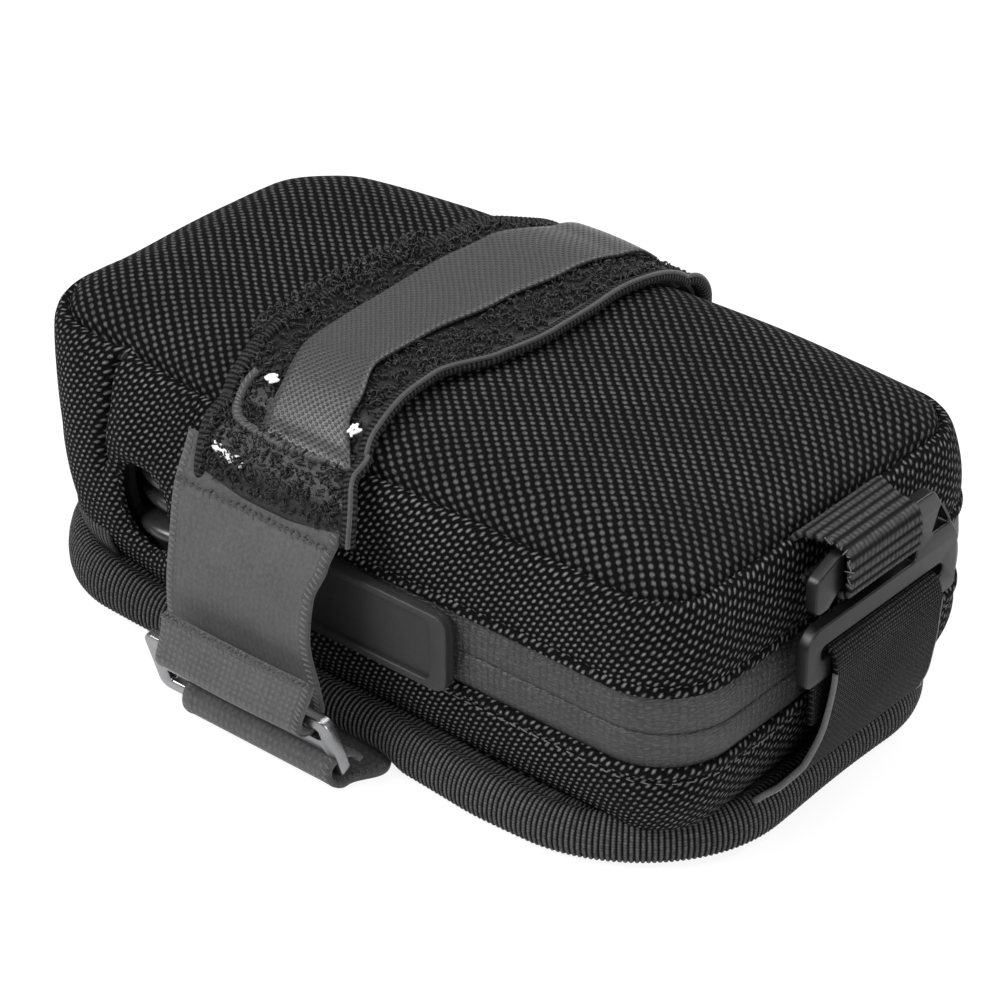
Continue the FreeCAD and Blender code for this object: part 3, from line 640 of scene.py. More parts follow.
paints = {
    "cloth": basketCloth("panelCloth", clothLook),
    "side": basketCloth("sideCloth", sideLook),
    "fine": basketCloth("tabCloth", fineLook),
    "lining": basketCloth("liningCloth", liningLook, "Object"),
    "binding": ribbedTape("bindingGrosgrain", bindingLook),
    "edge": ribbedTape("edgeGrosgrain", edgeLook),
    "welt": ribbedTape("weltGrosgrain", weltLook),
    "webbing": ribbedTape("coarseWebbing", webbingLook),
    "zip": coatedTape("coatedZipTape"),
    # pileGround is the loops' own yarn painted darker, as painted shade beneath the loops; the glints of both are
    # painted highlights
    "pile": pilePaint("pileGround", 0.012),
    "loop": pilePaint("pileLoop", 0.05),
    "piping": threadPaint("pipingCord", 0.01, 0.04),
    "ribbon": satinRibbon("satinRibbon"),
    "strap": greyStrap("greyStrap", 0.0),
    "flap": greyStrap("greyStrapFlap", 1.0),
    "chrome": bareMetal("polishedMetal"),
    "anodised": blackMetal("blackAnodised"),
    "zipMetal": blackMetal("zipMetal", 0.38),
    "rubber": mouldedRubber("mouldedRubber", False),
    "tube": mouldedRubber("tubeRubber", True),
    "white": threadPaint("whiteThread", 0.6, 0.9),
    "grey": threadPaint("greyThread", 0.025, 0.11),
    "black": threadPaint("blackThread", 0.003, 0.03),
    "foam": plainPaint("closedFoam", 0.02, 0.04, 3.0, 0.9, 0.1),
    "plastic": plainPaint("zipPlastic", 0.01, 0.02, 2.0, 0.5, 0.03),
}
print("stage: materials")


# The pod: one rounded outline, drawn in with height, which every band and panel of it shares

pod = {
    "taperStart": 36.0, "spineHalf": 39.0, "hookRadius": 15.0, "spineRadius": 20.0, "taperRadius": 60.0,
    "seamTuck": 3.0, "floorTuck": 4.5, "domeRun": 34.0, "domeSteepness": 4.5, "spineSeamX": -34.0,
}
podRight = size("upper_zip_tape")[1][0]
podHalf = size("upper_zip_tape")[1][1]
podLeft = -podRight - 1.0
floorZ = size("pod_floor")[0][2]
seamZ, topZ = size("top_panel")[:, 2]
tapeLow, tapeTop = size("lower_zip_tape")[0][2], size("upper_zip_tape")[1][2]
zipZ = (tapeLow + tapeTop) / 2
weltTop = size("upper_welt")[1][2]
weltLow = size("lower_welt")[0][2]


def outlineOf(corners, radii, count):
    # counter-clockwise rounded outline from the middle of its -X side: points and outward normals
    rounded = roundCorners(corners, radii, 40)
    dense = evenly(np.vstack([rounded, rounded[:1]]), 4000)[:-1]
    start = np.argmin(np.abs(dense[:, 1]) + 1000 * (dense[:, 0] > 0))
    dense = np.roll(dense, -start, axis=0)
    ring = evenly(np.vstack([dense, dense[:1]]), count + 1)[:-1]
    ring[0, 1] = 0.0
    tangent = unit(np.roll(ring, -1, 0) - np.roll(ring, 1, 0))
    return ring, np.stack([tangent[:, 1], -tangent[:, 0]], 1)


outlineCount = 640
podCorners = [(podLeft, -pod["spineHalf"]), (-pod["taperStart"], -podHalf), (podRight, -podHalf),
              (podRight, podHalf), (-pod["taperStart"], podHalf), (podLeft, pod["spineHalf"])]
podRadii = [pod["spineRadius"], pod["taperRadius"], pod["hookRadius"],
            pod["hookRadius"], pod["taperRadius"], pod["spineRadius"]]
podLine, podNormal = outlineOf(podCorners, podRadii, outlineCount)
podStep = lengthAlong(np.vstack([podLine, podLine[:1]]))[-1] / outlineCount


def nearOutline(x, y, spread):
    # bell along the outline, centred on its station nearest to (x, y)
    middle = np.argmin(np.hypot(podLine[:, 0] - x, podLine[:, 1] - y))
    away = np.abs(np.arange(outlineCount) - middle)
    return np.exp(-(np.minimum(away, outlineCount - away) * podStep / spread) ** 2)


# how far the upper edge stands out beyond the plain draw-in: the pinched corners of the spine end
podFlare = (3.5 * nearOutline(-76, -33, 15) + 1.6 * nearOutline(-81, 0, 26) - 2.4 * nearOutline(-74, 35, 13)
            + 2.0 * nearOutline(36, 41, 30))


def podTuck(z):
    # how far the side draws in from the outline: square of the distance from the zip, below and above it
    low = pod["floorTuck"] * ((zipZ - z) / (zipZ - floorZ)) ** 2
    high = pod["seamTuck"] * ((z - zipZ) / (seamZ - zipZ)) ** 2
    return np.where(z < zipZ, low, high)


def onPod(index, z, outset):
    # points on the pod's side at outline stations index and heights z, pushed out by outset
    index, z = np.asarray(index), np.asarray(z, float)
    line, normal = podLine[index % outlineCount], podNormal[index % outlineCount]
    flare = podFlare[index % outlineCount] * np.clip((z - zipZ) / (seamZ - zipZ), 0, 1) ** 1.3
    flat = line - normal * (podTuck(z) - outset - flare)[..., None]
    return np.concatenate([flat, z[..., None] + 0 * flat[..., :1]], -1)


hookStations = np.arange(outlineCount)[podLine[:, 0] > pod["spineSeamX"]]
spineStations = np.arange(-outlineCount // 2, outlineCount // 2)
spineStations = spineStations[podLine[spineStations % outlineCount][:, 0] <= pod["spineSeamX"] + 1.0]
ripple = rng.uniform(0, 2 * math.pi, 8)


def slowWaves(along, up):
    # soft unevenness of sewn cloth, within about half a millimetre
    wave = np.sin(along / 17 + ripple[0]) * np.sin(up / 9 + ripple[1]) * 0.22
    wave = wave + np.sin(along / 9.5 + ripple[2] + up / 14) * 0.13
    return wave + np.sin(along / 31 + ripple[3]) * 0.12


def podBand(profile, stations, rows, waves=1.0):
    # grid of (station, step of the profile); the profile lists height and outset from the pod's side
    section = curveThrough(profile, rows)
    along = stations[:, None] * podStep
    up = lengthAlong(section)[None, :]
    index = np.repeat(stations[:, None], rows, 1)
    outset = section[None, :, 1] + waves * slowWaves(along, section[None, :, 0])
    points = onPod(index, np.repeat(section[None, :, 0], len(stations), 0), outset)
    return points, np.stack(np.broadcast_arrays(along, up), -1)


def bandPiece(name, profile, stations, rows, thick, paint, slot, nodes, waves=1.0):
    shell = Shell()
    points, uv = podBand(profile, stations, rows, waves)
    sheetOf(shell, points, uv, thick)
    return shell.build(name, "bag", slot, [paints[paint]], nodes)


gusset = {"bulge": 1.1, "rollZ": 56.9, "cloth": 0.9}
upperProfile = [(weltTop - 0.6, -0.5), (weltTop + 0.6, 0.45), (46.0, 0.95), (49.5, gusset["bulge"]),
                (53.0, 0.9), (55.6, 0.55), (gusset["rollZ"], 0.0), (57.3, -0.6), (56.9, -1.25), (55.6, -1.5)]
lowerProfile = [(floorZ + 0.8, -0.4), (12.0, 0.3), (16.5, 0.9), (20.5, 0.7), (weltLow + 0.6, -0.3)]
for name, profile, rows, node in (("upperGusset", upperProfile, 22, "upper_gusset"),
                                  ("lowerGusset", lowerProfile, 12, "lower_gusset")):
    bandPiece(name, profile, hookStations, rows, gusset["cloth"], "side", "woven_cloth", [node])

welt = {"radius": 0.95, "cloth": 0.7}
for name, node, low, high in (("upperWelt", "upper_welt", tapeTop, weltTop),
                              ("lowerWelt", "lower_welt", weltLow, tapeLow)):
    middle = (low + high) / 2
    turn = np.linspace(-math.pi / 2, math.pi / 2, 7)
    profile = [(middle + welt["radius"] * math.sin(a), 0.1 + 0.8 * math.cos(a)) for a in turn]
    bandPiece(name, profile, hookStations, 9, welt["cloth"], "side", "woven_cloth", [node], 0.4)

zipTape = {"cloth": 0.7, "lip": 0.12}
upperTape = [(tapeTop + 0.3, -0.75), (tapeTop - 0.8, -0.35), (38.6, 0.05), (36.2, 0.15), (zipZ + 1.2, 0.12),
             (zipZ + zipTape["lip"], -0.2)]
lowerTape = [(zipZ - zipTape["lip"], -0.2), (zipZ - 1.2, 0.12), (30.0, 0.2), (27.6, 0.1),
             (tapeLow + 0.8, -0.3), (tapeLow - 0.3, -0.75)]
for name, profile, node in (("upperZipTape", upperTape, "upper_zip_tape"),
                            ("lowerZipTape", lowerTape, "lower_zip_tape")):
    bandPiece(name, profile, hookStations, 14, zipTape["cloth"], "zip", "coated_tape", [node], 0.7)
print("stage: zip band")


# Spine panel, with its crease, and the side port as a real opening

spine = {"rows": 60, "creaseDepth": 3.0, "creaseWidth": 1.1, "puff": 1.6, "cloth": 0.9}
port = {"x": -48.0, "z": 28.0, "half": 7.9, "tall": 10.2, "lip": 0.8, "dent": 1.4}


def portDistance(x, z):
    # signed distance to the oval opening's edge
    tall = port["tall"] - port["half"]
    return np.hypot(x - port["x"], np.maximum(np.abs(z - port["z"]) - tall, 0)) - port["half"]


def spineOutset(points):
    # crease down the near side, puffs beside it, and the dent round the port
    x, y, z = points[..., 0], points[..., 1], points[..., 2]
    near = (y < 0) * 1.0
    creaseX = valueAt([30, 36, 47.5, 54, 57.5], [-60.0, -59.0, -57.3, -57.4, -55.5], z)
    fade = valueAt([28, 38, 60], [0, 1, 1], z)
    crease = -spine["creaseDepth"] * bump(x, creaseX, spine["creaseWidth"]) * fade
    puffs = spine["puff"] * bump(x, creaseX + 7, 6) * bump(z, 46, 9)
    puffs = puffs + 0.8 * bump(x, creaseX - 8, 7) * bump(z, 42, 14)
    dent = -port["dent"] * np.exp(-np.maximum(portDistance(x, z), 0) / 1.7)
    pull = 0.7 * bump(z, port["z"] + 14, 4) * bump(x, port["x"], 10)
    return near * (crease + puffs + dent + pull)


def spinePanel():
    # two skins of the same band, open where the port is, closed along their edges
    profile = [(floorZ + 0.8, -0.4), (12.0, 0.25), (18.0, 0.9), (30.0, 1.0), (42.0, 1.0), (53.0, 0.9),
               (55.6, 0.55), (gusset["rollZ"], 0.0), (57.3, -0.6), (56.9, -1.25), (55.6, -1.5)]
    rows = spine["rows"]
    points, uv = podBand(profile, spineStations, rows)
    outward = np.pad(podNormal[spineStations % outlineCount], ((0, 0), (0, 1)))
    points = points + outward[:, None] * spineOutset(points)[..., None]
    inside = (portDistance(points[..., 0], points[..., 2]) < 0.2) & (points[..., 1] < 0)
    count, cols = points.shape[0] - 1, points.shape[1] - 1
    keepFace = ~(inside[:count, :cols] & inside[1:, 1:])
    normals = surfaceNormals(points)
    half = spine["cloth"] / 2
    shell = Shell()
    for side in (half, -half):
        keep = np.zeros(points.shape[:2], bool)
        keep[:count, :cols] = keepFace
        shell.grid(points + normals * side, uv, keep=keep)
    rims = [(points[:, 0], normals[:, 0]), (points[:, -1], normals[:, -1]),
            (points[0], normals[0]), (points[-1], normals[-1])]
    for line, normal in rims:
        edge = np.stack([line + normal * half, line - normal * half], 1)
        shell.grid(edge, np.zeros((len(line), 2, 2)))
    return shell.build("spinePanel", "bag", "woven_cloth", [paints["side"]], ["spine_panel"])


spinePanel()


def portLip():
    # rolled edge of the opening, lying on the dented cloth
    angle = np.linspace(0, 2 * math.pi, 72, endpoint=False)
    rise = np.sin(angle)
    tall = port["tall"] - port["half"]
    x = port["x"] + port["half"] * np.cos(angle)
    z = port["z"] + port["half"] * rise + tall * np.sign(rise) * np.minimum(1, np.abs(rise) * 3)
    near = np.argmin(np.abs(podLine[:, 0][None] - x[:, None]) + 1000 * (podLine[:, 1][None] > 0), axis=1)
    line = onPod(near, z, 0.95 - port["dent"] + 0 * z)
    line[:, 0] = x
    up = np.concatenate([podNormal[near], np.zeros((len(near), 1))], 1)
    shell = Shell()
    tubeAlong(shell, line, up, port["lip"], port["lip"] * 0.9, sides=10, closed=True)
    return shell.build("portLip", "bag", "grosgrain", [paints["side"]], ["port_binding"])


portLip()


def tubeFolds():
    # the spare tube: flat folds stacked in height, their round noses towards the port
    look = {"folds": 4, "wave": 0.5, "gap": 0.35, "bulge": 4.2}
    low, high = size("spare_tube")
    pitch = (high[2] - low[2]) / look["folds"]
    shell = Shell()
    for k in range(look["folds"]):
        z = low[2] + pitch * (k + 0.5)
        along = np.linspace(low[0] + 1, high[0] - 1, 40)
        shift = [0.0, 1.6, 0.4, 2.4][k % 4]
        depth = (high[1] - low[1]) / 2 - 1.3
        centre = np.stack([along, low[1] + depth - 1.8 + shift * 0.5 - 0.155 * (along - port["x"])
                           - look["bulge"] * bump(along, port["x"], 7),
                           z + look["wave"] * np.sin(along / 7 + k * 1.3)], 1)
        radius = depth - shift * 0.4 + 0.5 * np.sin(along / 5 + k)
        ends = np.minimum(1, np.minimum(np.arange(40), np.arange(40)[::-1]) / 3 + 0.35)
        tubeAlong(shell, centre, np.tile([0.0, 0, 1], (40, 1)), radius * ends,
                  (pitch - look["gap"]) / 2 * ends, sides=24, power=2.6)
    return shell.build("spareTubeFolds", "bag", "tube_rubber", [paints["tube"]], ["spare_tube"])


tubeFolds()
print("stage: spine panel and port")


# Top panel: padded, its edge drawn down into the seam groove

panel = {"inset": 4.2, "dip": 2.7, "dipWidth": 0.8, "squeeze": 0.5, "puff": 0.5, "rings": 46, "medial": 36.0,
         "smoothing": 30, "fill": 0.85}


def domeHeight(depth):
    # steep at the seam and nearly flat in the middle, by the distance in from the rim
    t = np.clip((depth - pod["seamTuck"]) / pod["domeRun"], 0, 1)
    return seamZ + (topZ - seamZ) * (1 - (1 - t) ** pod["domeSteepness"])


def topPanel():
    # rings from the seam inwards, each point on the line from the outline to the middle segment
    edge = podLine - podNormal * (panel["inset"] - podFlare)[:, None]
    target = np.stack([np.clip(podLine[:, 0] * 0.9, -panel["medial"], panel["medial"]), 0 * podLine[:, 0]], 1)
    t = np.linspace(0, 1, panel["rings"]) ** 1.6
    flat = edge[None] * (1 - t)[:, None, None] + target[None] * t[:, None, None]
    rim = (podLine + podNormal * podFlare[:, None])[::4]
    distance = np.min(np.linalg.norm(flat[:, :, None, :] - rim[None, None], axis=-1), axis=-1)
    depth = distance
    for _ in range(panel["smoothing"]):
        soft = (np.roll(depth, 2, 1) + np.roll(depth, -2, 1)) / 2
        weight = np.clip((distance - 6) / 10, 0, 1)
        depth = depth * (1 - weight * 0.6) + soft * weight * 0.6
    z = domeHeight(depth)
    z = z - panel["dip"] * bump(depth, panel["inset"], panel["dipWidth"])
    x, y = flat[..., 0], flat[..., 1]
    inner = np.clip((depth - 5) / 8, 0, 1)
    strapMiddle = -8.5 + 0.0875 * y
    z = z - panel["squeeze"] * inner * np.exp(-((x - strapMiddle) / 15) ** 4)
    z = z + panel["puff"] * inner * (bump(x, 38, 22) + 0.6 * bump(x, -56, 16))
    z = z + inner * slowWaves(x * 1.3, y * 1.3) * 0.8
    points = np.concatenate([flat, z[..., None]], -1)
    mirror = (-np.arange(outlineCount)) % outlineCount
    points[-1, :, 2] = (points[-1, :, 2] + points[-1, mirror, 2]) / 2
    under = points.copy()
    under[..., 2] = seamZ - 2.6 + 0 * z
    # the cloth's own place: lengths over the dome, measured outwards from the middle
    steps = np.linalg.norm(np.diff(points, axis=0), axis=-1)
    flatSteps = np.linalg.norm(np.diff(flat, axis=0), axis=-1)
    over = np.concatenate([np.cumsum(steps[::-1], 0)[::-1], 0 * steps[:1]])
    flatOver = np.concatenate([np.cumsum(flatSteps[::-1], 0)[::-1], 0 * steps[:1]])
    stretch = over / np.maximum(flatOver, 1e-6)
    cloth = target[None] + (flat - target[None]) * np.where(flatOver > 0, stretch, 1)[..., None]
    uv = np.concatenate([cloth, cloth[:, :1]], 1)
    shell = Shell()
    shell.grid(points, uv, closedV=True)
    shell.grid(under, uv, closedV=True)
    wall = np.stack([points[0], under[0]])
    shell.grid(wall, np.concatenate([uv[:1], uv[:1] + 2]), closedV=True)
    nodes = ["top_panel", "top_foam"]
    piece = shell.build("topPanel", "bag", "woven_cloth", [paints["cloth"]], nodes, merge=0.02)


topPanel()


def grooveTape():
    # dark tape at the bottom of the groove between the top panel and the sides
    index = np.arange(outlineCount)
    line = onPod(index, np.full(outlineCount, seamZ - 1.0), np.full(outlineCount, -0.9))
    shell = Shell()
    tubeAlong(shell, line, np.tile([0.0, 0, 1], (outlineCount, 1)), 1.0, 0.8, sides=8, closed=True)
    shell.build("grooveTape", "bag", "grosgrain", [paints["welt"]], ["top_seam_tape"])


grooveTape()
print("stage: top panel")


# Wrap panel under the pod, with its fat ribbed binding

wrap = {"ribPitch": 1.1, "ribDepth": 0.36, "stepsPerRib": 5, "sides": 24, "spineLift": 0.45, "channel": 1.8,
        "panelInset": 8.0, "strapSink": 1.75, "fill": 0.7,
        "corners": [(-82.5, -44.3), (36.0, -49.9), (81.4, -48.0), (80.2, 46.5), (-82.5, 46.5)],
        "radii": [24.0, 60.0, 33.0, 29.0, 26.0]}
# the roll's section as distance from the outline and height: outer roll, crest, small groove, inner shelf
wrapSection = [(-9.8, 3.0), (-9.4, 0.9), (-6.5, 0.15), (-3.2, 0.15), (-1.2, 0.9), (-0.15, 2.8), (0.0, 5.0),
               (-0.6, 7.2), (-1.9, 8.8), (-3.4, 9.5), (-4.7, 9.1), (-5.6, 8.2), (-6.8, 8.3), (-8.6, 7.9),
               (-9.8, 6.0)]


def wrapBinding():
    # the section carried round the panel; it swells at every rib, rises at the spine end and clears the strap
    sides, dense, reach = wrap["sides"], 400, 60
    closed = np.array(wrapSection * 3)
    section = evenly(curveThrough(closed[len(wrapSection) - 1:2 * len(wrapSection) + 1], dense), dense)
    # one full turn of it, from the first point to where the curve comes back there
    away = np.linalg.norm(section - closed[0], axis=1)
    first, last = np.argmin(away[:reach]), dense - reach + np.argmin(away[-reach:])
    section = evenly(section[first:last + 1], sides + 1)[:-1]
    corners = wrap["corners"]
    about = np.sum(np.linalg.norm(np.diff(np.vstack([corners, corners[:1]]), axis=0), axis=1)) * 0.93
    count = int(about / wrap["ribPitch"]) * wrap["stepsPerRib"]
    line, normal = outlineOf(corners, wrap["radii"], count)
    x, y = line[:, 0], line[:, 1]
    strap = np.exp(-((x + 7.5) / 24.0) ** 12) * (np.abs(y) > 30)
    spineEnd = valueAt([-83, -66, -45], [1, 0.4, 0], x)
    phase = np.arange(count) / wrap["stepsPerRib"] * math.pi
    rib = 1 + (np.abs(np.sin(phase)) ** 0.8 - 0.7) * wrap["ribDepth"] / 5
    sway = 0.3 * np.sin(np.arange(count) / count * 2 * math.pi * 9 + ripple[4])
    middle = np.mean(section, axis=0)
    swollen = middle + (section - middle)[None] * rib[:, None, None]
    out = swollen[..., 0] + sway[:, None] - 0.8 * strap[:, None]
    z = np.maximum(swollen[..., 1], 0.1) * (1 + wrap["spineLift"] * spineEnd)[:, None]
    z = z + (wrap["channel"] * strap)[:, None] * np.clip(1 - z / 9.5, 0, 1)
    flat = line[:, None] + normal[:, None] * out[..., None]
    points = np.concatenate([flat, z[..., None]], -1)
    along = np.arange(count + 1) / wrap["stepsPerRib"] * wrap["ribPitch"]
    shell = Shell()
    uv = np.stack(np.meshgrid(along, np.linspace(0, 34.0, sides + 1), indexing="ij"), -1)
    shell.grid(points, uv, closedU=True, closedV=True)
    shell.build("wrapBinding", "bag", "grosgrain", [paints["binding"]], ["wrap_binding"])


wrapBinding()


def wrapPanel():
    # padded panel: lining face crowned towards the pod, cloth face flat with the strap's channel pressed in
    line, normal = outlineOf(wrap["corners"], wrap["radii"], 320)
    line = line - normal * wrap["panelInset"]
    rimLow, rimHigh = 4.4, 5.6
    strapLow, strapHigh = size("under_strap")[:, 0]
    target = np.stack([np.clip(line[:, 0] * 0.8, -40, 40), 0 * line[:, 0]], 1)
    t = np.linspace(0, 1, 18)[:, None]
    flat = line[None] * (1 - t)[..., None] + target[None] * t[..., None]
    soft = 1 - (1 - np.clip(t * 4, 0, 1)) ** 2
    away = (flat[..., 0] - (strapLow + strapHigh) / 2) / ((strapHigh - strapLow) / 2 + 1.2)
    channel = np.exp(-away ** 16)
    shell = Shell()
    for z in (rimLow - 3.9 * soft + channel * wrap["strapSink"] * soft, rimHigh + 2.0 * soft + 0 * away):
        points = np.concatenate([flat, z[..., None]], -1)
        uv = np.concatenate([points[..., :2], points[:, :1, :2]], 1)
        shell.grid(points, uv, closedV=True)
    wall = np.stack([np.concatenate([line, np.full((len(line), 1), z)], 1) for z in (rimLow, rimHigh)])
    uv = np.concatenate([line, line[:1]])
    shell.grid(wall, np.stack([uv, uv + 1]), closedV=True)
    nodes = ["wrap_outer_cloth", "wrap_foam", "wrap_lining"]
    piece = shell.build("wrapPanel", "bag", "woven_cloth", [paints["cloth"]], nodes, merge=0.02)


wrapPanel()
hingeStations = spineStations[podLine[spineStations % outlineCount][:, 0] < -60.5]
hingeLow, hingeTop = size("spine_hinge")[:, 2]
hingeProfile = [(hingeLow - 0.5, 1.0), (hingeLow + 2, 1.5), (hingeLow + 4, 1.6), (hingeTop + 0.5, 1.2)]
bandPiece("spineHinge", hingeProfile, hingeStations, 8, 0.8, "binding", "grosgrain", ["spine_hinge"])
print("stage: wrap panel")


# Strap over the top: pile face, bound edges, satin ribbon, slot edge and tack row

topStrap = {"thick": 1.7, "lift": 0.9, "edgeRadius": 1.35, "piping": 0.42, "loops": 5600, "loopSize": 0.95}
pileBox = size("pile_strap")
farTop = (size("far_strap")[1][1] - 4.0, seamZ - 5.0)
nearTop = (pileBox[0][1] + 1.0, 49.6)
# each side of the strap as x at stations of y
leftKeys = ([-53.0, -46.0, -38.0, -22.0, 0.0, 24.0, 37.0, 48.0],
            [-24.5, -26.2, -28.7, -30.1, -29.0, -26.7, -20.5, -17.0])
rightKeys = ([-53.0, -46.0, -38.0, -22.0, -9.0, 6.0, 27.0, 37.0, 48.0],
             [12.0, 7.8, 4.6, 4.4, 8.6, 10.4, 11.0, 10.6, 10.4])


def overPanel(y, offset):
    # point at the given distance square to the top panel's middle section
    depth = podHalf - np.abs(y)
    z = domeHeight(depth)
    slope = (domeHeight(podHalf - np.abs(y + 0.1)) - domeHeight(podHalf - np.abs(y - 0.1))) / 0.2
    steep = np.hypot(1, slope)
    return np.stack([y - slope / steep * offset, z + offset / steep], 1)


def topStrapPath(offset, count=150):
    # from the far side over the dome and down to the tack row, as (y, z)
    shoulder = podHalf - 5.0
    across = overPanel(shoulder * np.cos(np.linspace(0, math.pi, 17)), offset)
    turn = np.linspace(0, math.pi / 2, 6)[1:]

    def drop(start, end):
        y = start[0] + (end[0] - start[0]) * np.sin(turn)
        return np.stack([y, end[1] + (start[1] - end[1]) * np.cos(turn)], 1)

    line = np.vstack([drop(across[0], farTop)[::-1], across, drop(across[-1], nearTop)])
    return curveThrough(line, count)


def strapPoint(path, offset, xLeft, xRight, share):
    # share runs 0 to 1 across the strap; offset lifts the point square to the path
    normal = squareTo(path)
    normal = normal * np.sign(normal[len(path) // 2, 1])
    y = path[:, 0][:, None] + normal[:, 0][:, None] * offset
    z = path[:, 1][:, None] + normal[:, 1][:, None] * offset
    x = xLeft[:, None] * (1 - share) + xRight[:, None] * share
    return np.stack(np.broadcast_arrays(x, y, z), -1), normal


def pileStrap():
    # a band carried along the path, a little crowned across
    path = topStrapPath(topStrap["lift"] + topStrap["thick"] / 2)
    left, right = valueAt(*leftKeys, path[:, 0]), valueAt(*rightKeys, path[:, 0])
    share = np.linspace(0, 1, 18)[None]
    crown = 0.5 * np.sin(math.pi * share) - 0.25
    points, normal = strapPoint(path, crown, left + 1.2, right - 1.2, share)
    along = lengthAlong(path)
    uv = np.stack(np.broadcast_arrays(along[:, None], share * 36), -1)
    shell = Shell()
    sheetOf(shell, points, uv, topStrap["thick"])
    strap = shell.build("pileStrap", "bag", "loop_pile", [paints["pile"]], ["pile_strap"])
    return path, points, normal


pilePath, pileFace, pileNormal = pileStrap()


def pileLoops():
    # yarn loops scattered over the pile face, longer and looser along the edges
    count = topStrap["loops"]
    s = rng.uniform(2, len(pilePath) - 3, count)
    w = rng.uniform(-0.05, 0.97, count)
    y = np.interp(s, np.arange(len(pilePath)), pilePath[:, 0])
    onRibbon = (np.abs(w - 0.5) < 0.2) & (y > -36) & (y < 40)
    s, w = s[~onRibbon], w[~onRibbon]
    i = s.astype(int)
    f = (s - i)[:, None]
    column = np.clip(w, 0, 1) * 17
    j = np.minimum(column.astype(int), 16)
    g = (column - j)[:, None]
    corner = pileFace[i, j] * (1 - f) + pileFace[i + 1, j] * f
    other = pileFace[i, j + 1] * (1 - f) + pileFace[i + 1, j + 1] * f
    centre = corner * (1 - g) + other * g
    up = inSpace(pileNormal[i])
    # those past the left edge hang over it
    centre = centre + up * topStrap["thick"] * 0.4
    spill = np.clip(0.12 - w, 0, 0.17)[:, None] * (np.abs(y[~onRibbon] + 9) < 23)[:, None]
    centre = centre - np.array([22.0, 0, 0]) * spill + up * 8 * spill
    edge = np.clip((np.abs(w - 0.5) - 0.34) * 6, 0, 1)[:, None]
    big = topStrap["loopSize"] * (0.6 + 0.6 * rng.random((len(w), 1)) + 0.25 * edge)
    turn = rng.uniform(0, 2 * math.pi, len(w))
    right = np.tile([1.0, 0, 0], (len(w), 1))
    forward = np.cross(up, right)
    x = right * np.cos(turn)[:, None] + forward * np.sin(turn)[:, None]
    lean = rng.normal(size=(len(w), 3)) * 0.45
    z = unit(up + lean)
    x = unit(x - z * np.sum(x * z, 1, keepdims=True))
    axes = np.stack([x * big * 0.62, np.cross(z, x) * big * 0.8, z * big], 1)
    template, faces = loopTemplate()
    shell = Shell()
    shell.scatter(template, faces, centre, axes)
    shell.build("pileLoops", "bag", "loop_pile", [paints["loop"]], merge=0.0005)


pileLoops()


def pileEdge(name, node, sign):
    # ribbed tape folded over the strap's edge; the right one has a thin rolled line on it
    steps = 5
    path = topStrapPath(topStrap["lift"] + topStrap["thick"] / 2, 150 * steps)
    y = path[:, 0]
    keys = leftKeys if sign < 0 else rightKeys
    waver = 0.35 * np.sin(lengthAlong(path) / 6.5 + ripple[5]) + 0.2 * np.sin(lengthAlong(path) / 2.9)
    x = valueAt(*keys, y) + waver - sign * 0.4
    lift = 0.5 + 0.3 * np.sin(lengthAlong(path) / 11)
    points, normal = strapPoint(path, lift[:, None], x, x, np.zeros((1, 1)))
    line = points[:, 0]
    up = inSpace(normal)
    along = lengthAlong(line)
    rib = np.abs(np.sin(along * math.pi / edgeLook["pitch"])) ** 0.8
    shell = Shell()
    radius = topStrap["edgeRadius"]
    tubeAlong(shell, line, up, radius + 0.1 * rib, radius * 0.72 + 0.14 * rib, sides=12, power=2.3)
    if sign > 0:
        cord = line + unit(up + np.array([0.8, 0, 0])) * (radius + 0.05)
        tubeAlong(shell, cord[::3], up[::3], topStrap["piping"], topStrap["piping"], sides=8, slot=1)
    shell.build(name, "bag", "grosgrain", [paints["edge"], paints["piping"]], [node])


pileEdge("pileEdgeLeft", "pile_edge_left", -1)
pileEdge("pileEdgeRight", "pile_edge_right", 1)

ribbon = {"thick": 0.55, "lift": 3.9, "width": 17.5, "nearY": -50.5, "farY": 43.0}
ribbonLeft = ([-50.0, -42.5, -27.3, -13.9, 5.1, 20.8, 35.2, 44.0],
              [-13.5, -16.2, -19.7, -20.3, -20.6, -19.4, -14.3, -12.5])
ribbonRight = ([-49.0, -37.2, -25.7, -13.1, 4.4, 20.8, 39.3, 44.0],
               [7.2, -0.6, -4.9, -4.7, -2.2, 0.1, 2.3, 4.0])


def satinStrip():
    # laid on the pile; its near end dips into the slot and its far end curls up
    path = topStrapPath(ribbon["lift"], 260)
    path = path[(path[:, 0] > ribbon["nearY"]) & (path[:, 0] < ribbon["farY"]) & (path[:, 1] > 53)]
    path = evenly(path, 170)
    y = path[:, 0]
    dip = -3.4 * valueAt([-51.5, -49.0, -46.5, -42.0], [1, 0.7, 0.15, 0], y)
    curl = 1.0 * valueAt([33, 40, 43], [0, 1, 0.6], y)
    belly = 0.5 * bump(y, -30, 9)
    share = np.linspace(0, 1, 14)[None]
    arch = 0.3 * np.sin(math.pi * share)
    offset = (dip + curl + belly)[:, None] + arch
    points = strapPoint(path, offset, valueAt(*ribbonLeft, y), valueAt(*ribbonRight, y), share)[0]
    along = lengthAlong(path)
    uv = np.stack(np.broadcast_arrays(along[:, None], share * ribbon["width"]), -1)
    shell = Shell()
    sheetOf(shell, points, uv, ribbon["thick"])
    strip = shell.build("railRibbon", "bag", "satin_ribbon", [paints["ribbon"]], ["rail_ribbon"])


satinStrip()


slotCord = {"wide": 0.95, "high": 0.7, "lift": 0.35}
slotCorners = [(-24.0, -37.5), (-24.2, -40.5), (-23.0, -44.0), (-19.5, -46.8), (-11.0, -47.5), (-3.0, -47.2),
               (2.0, -46.5)]


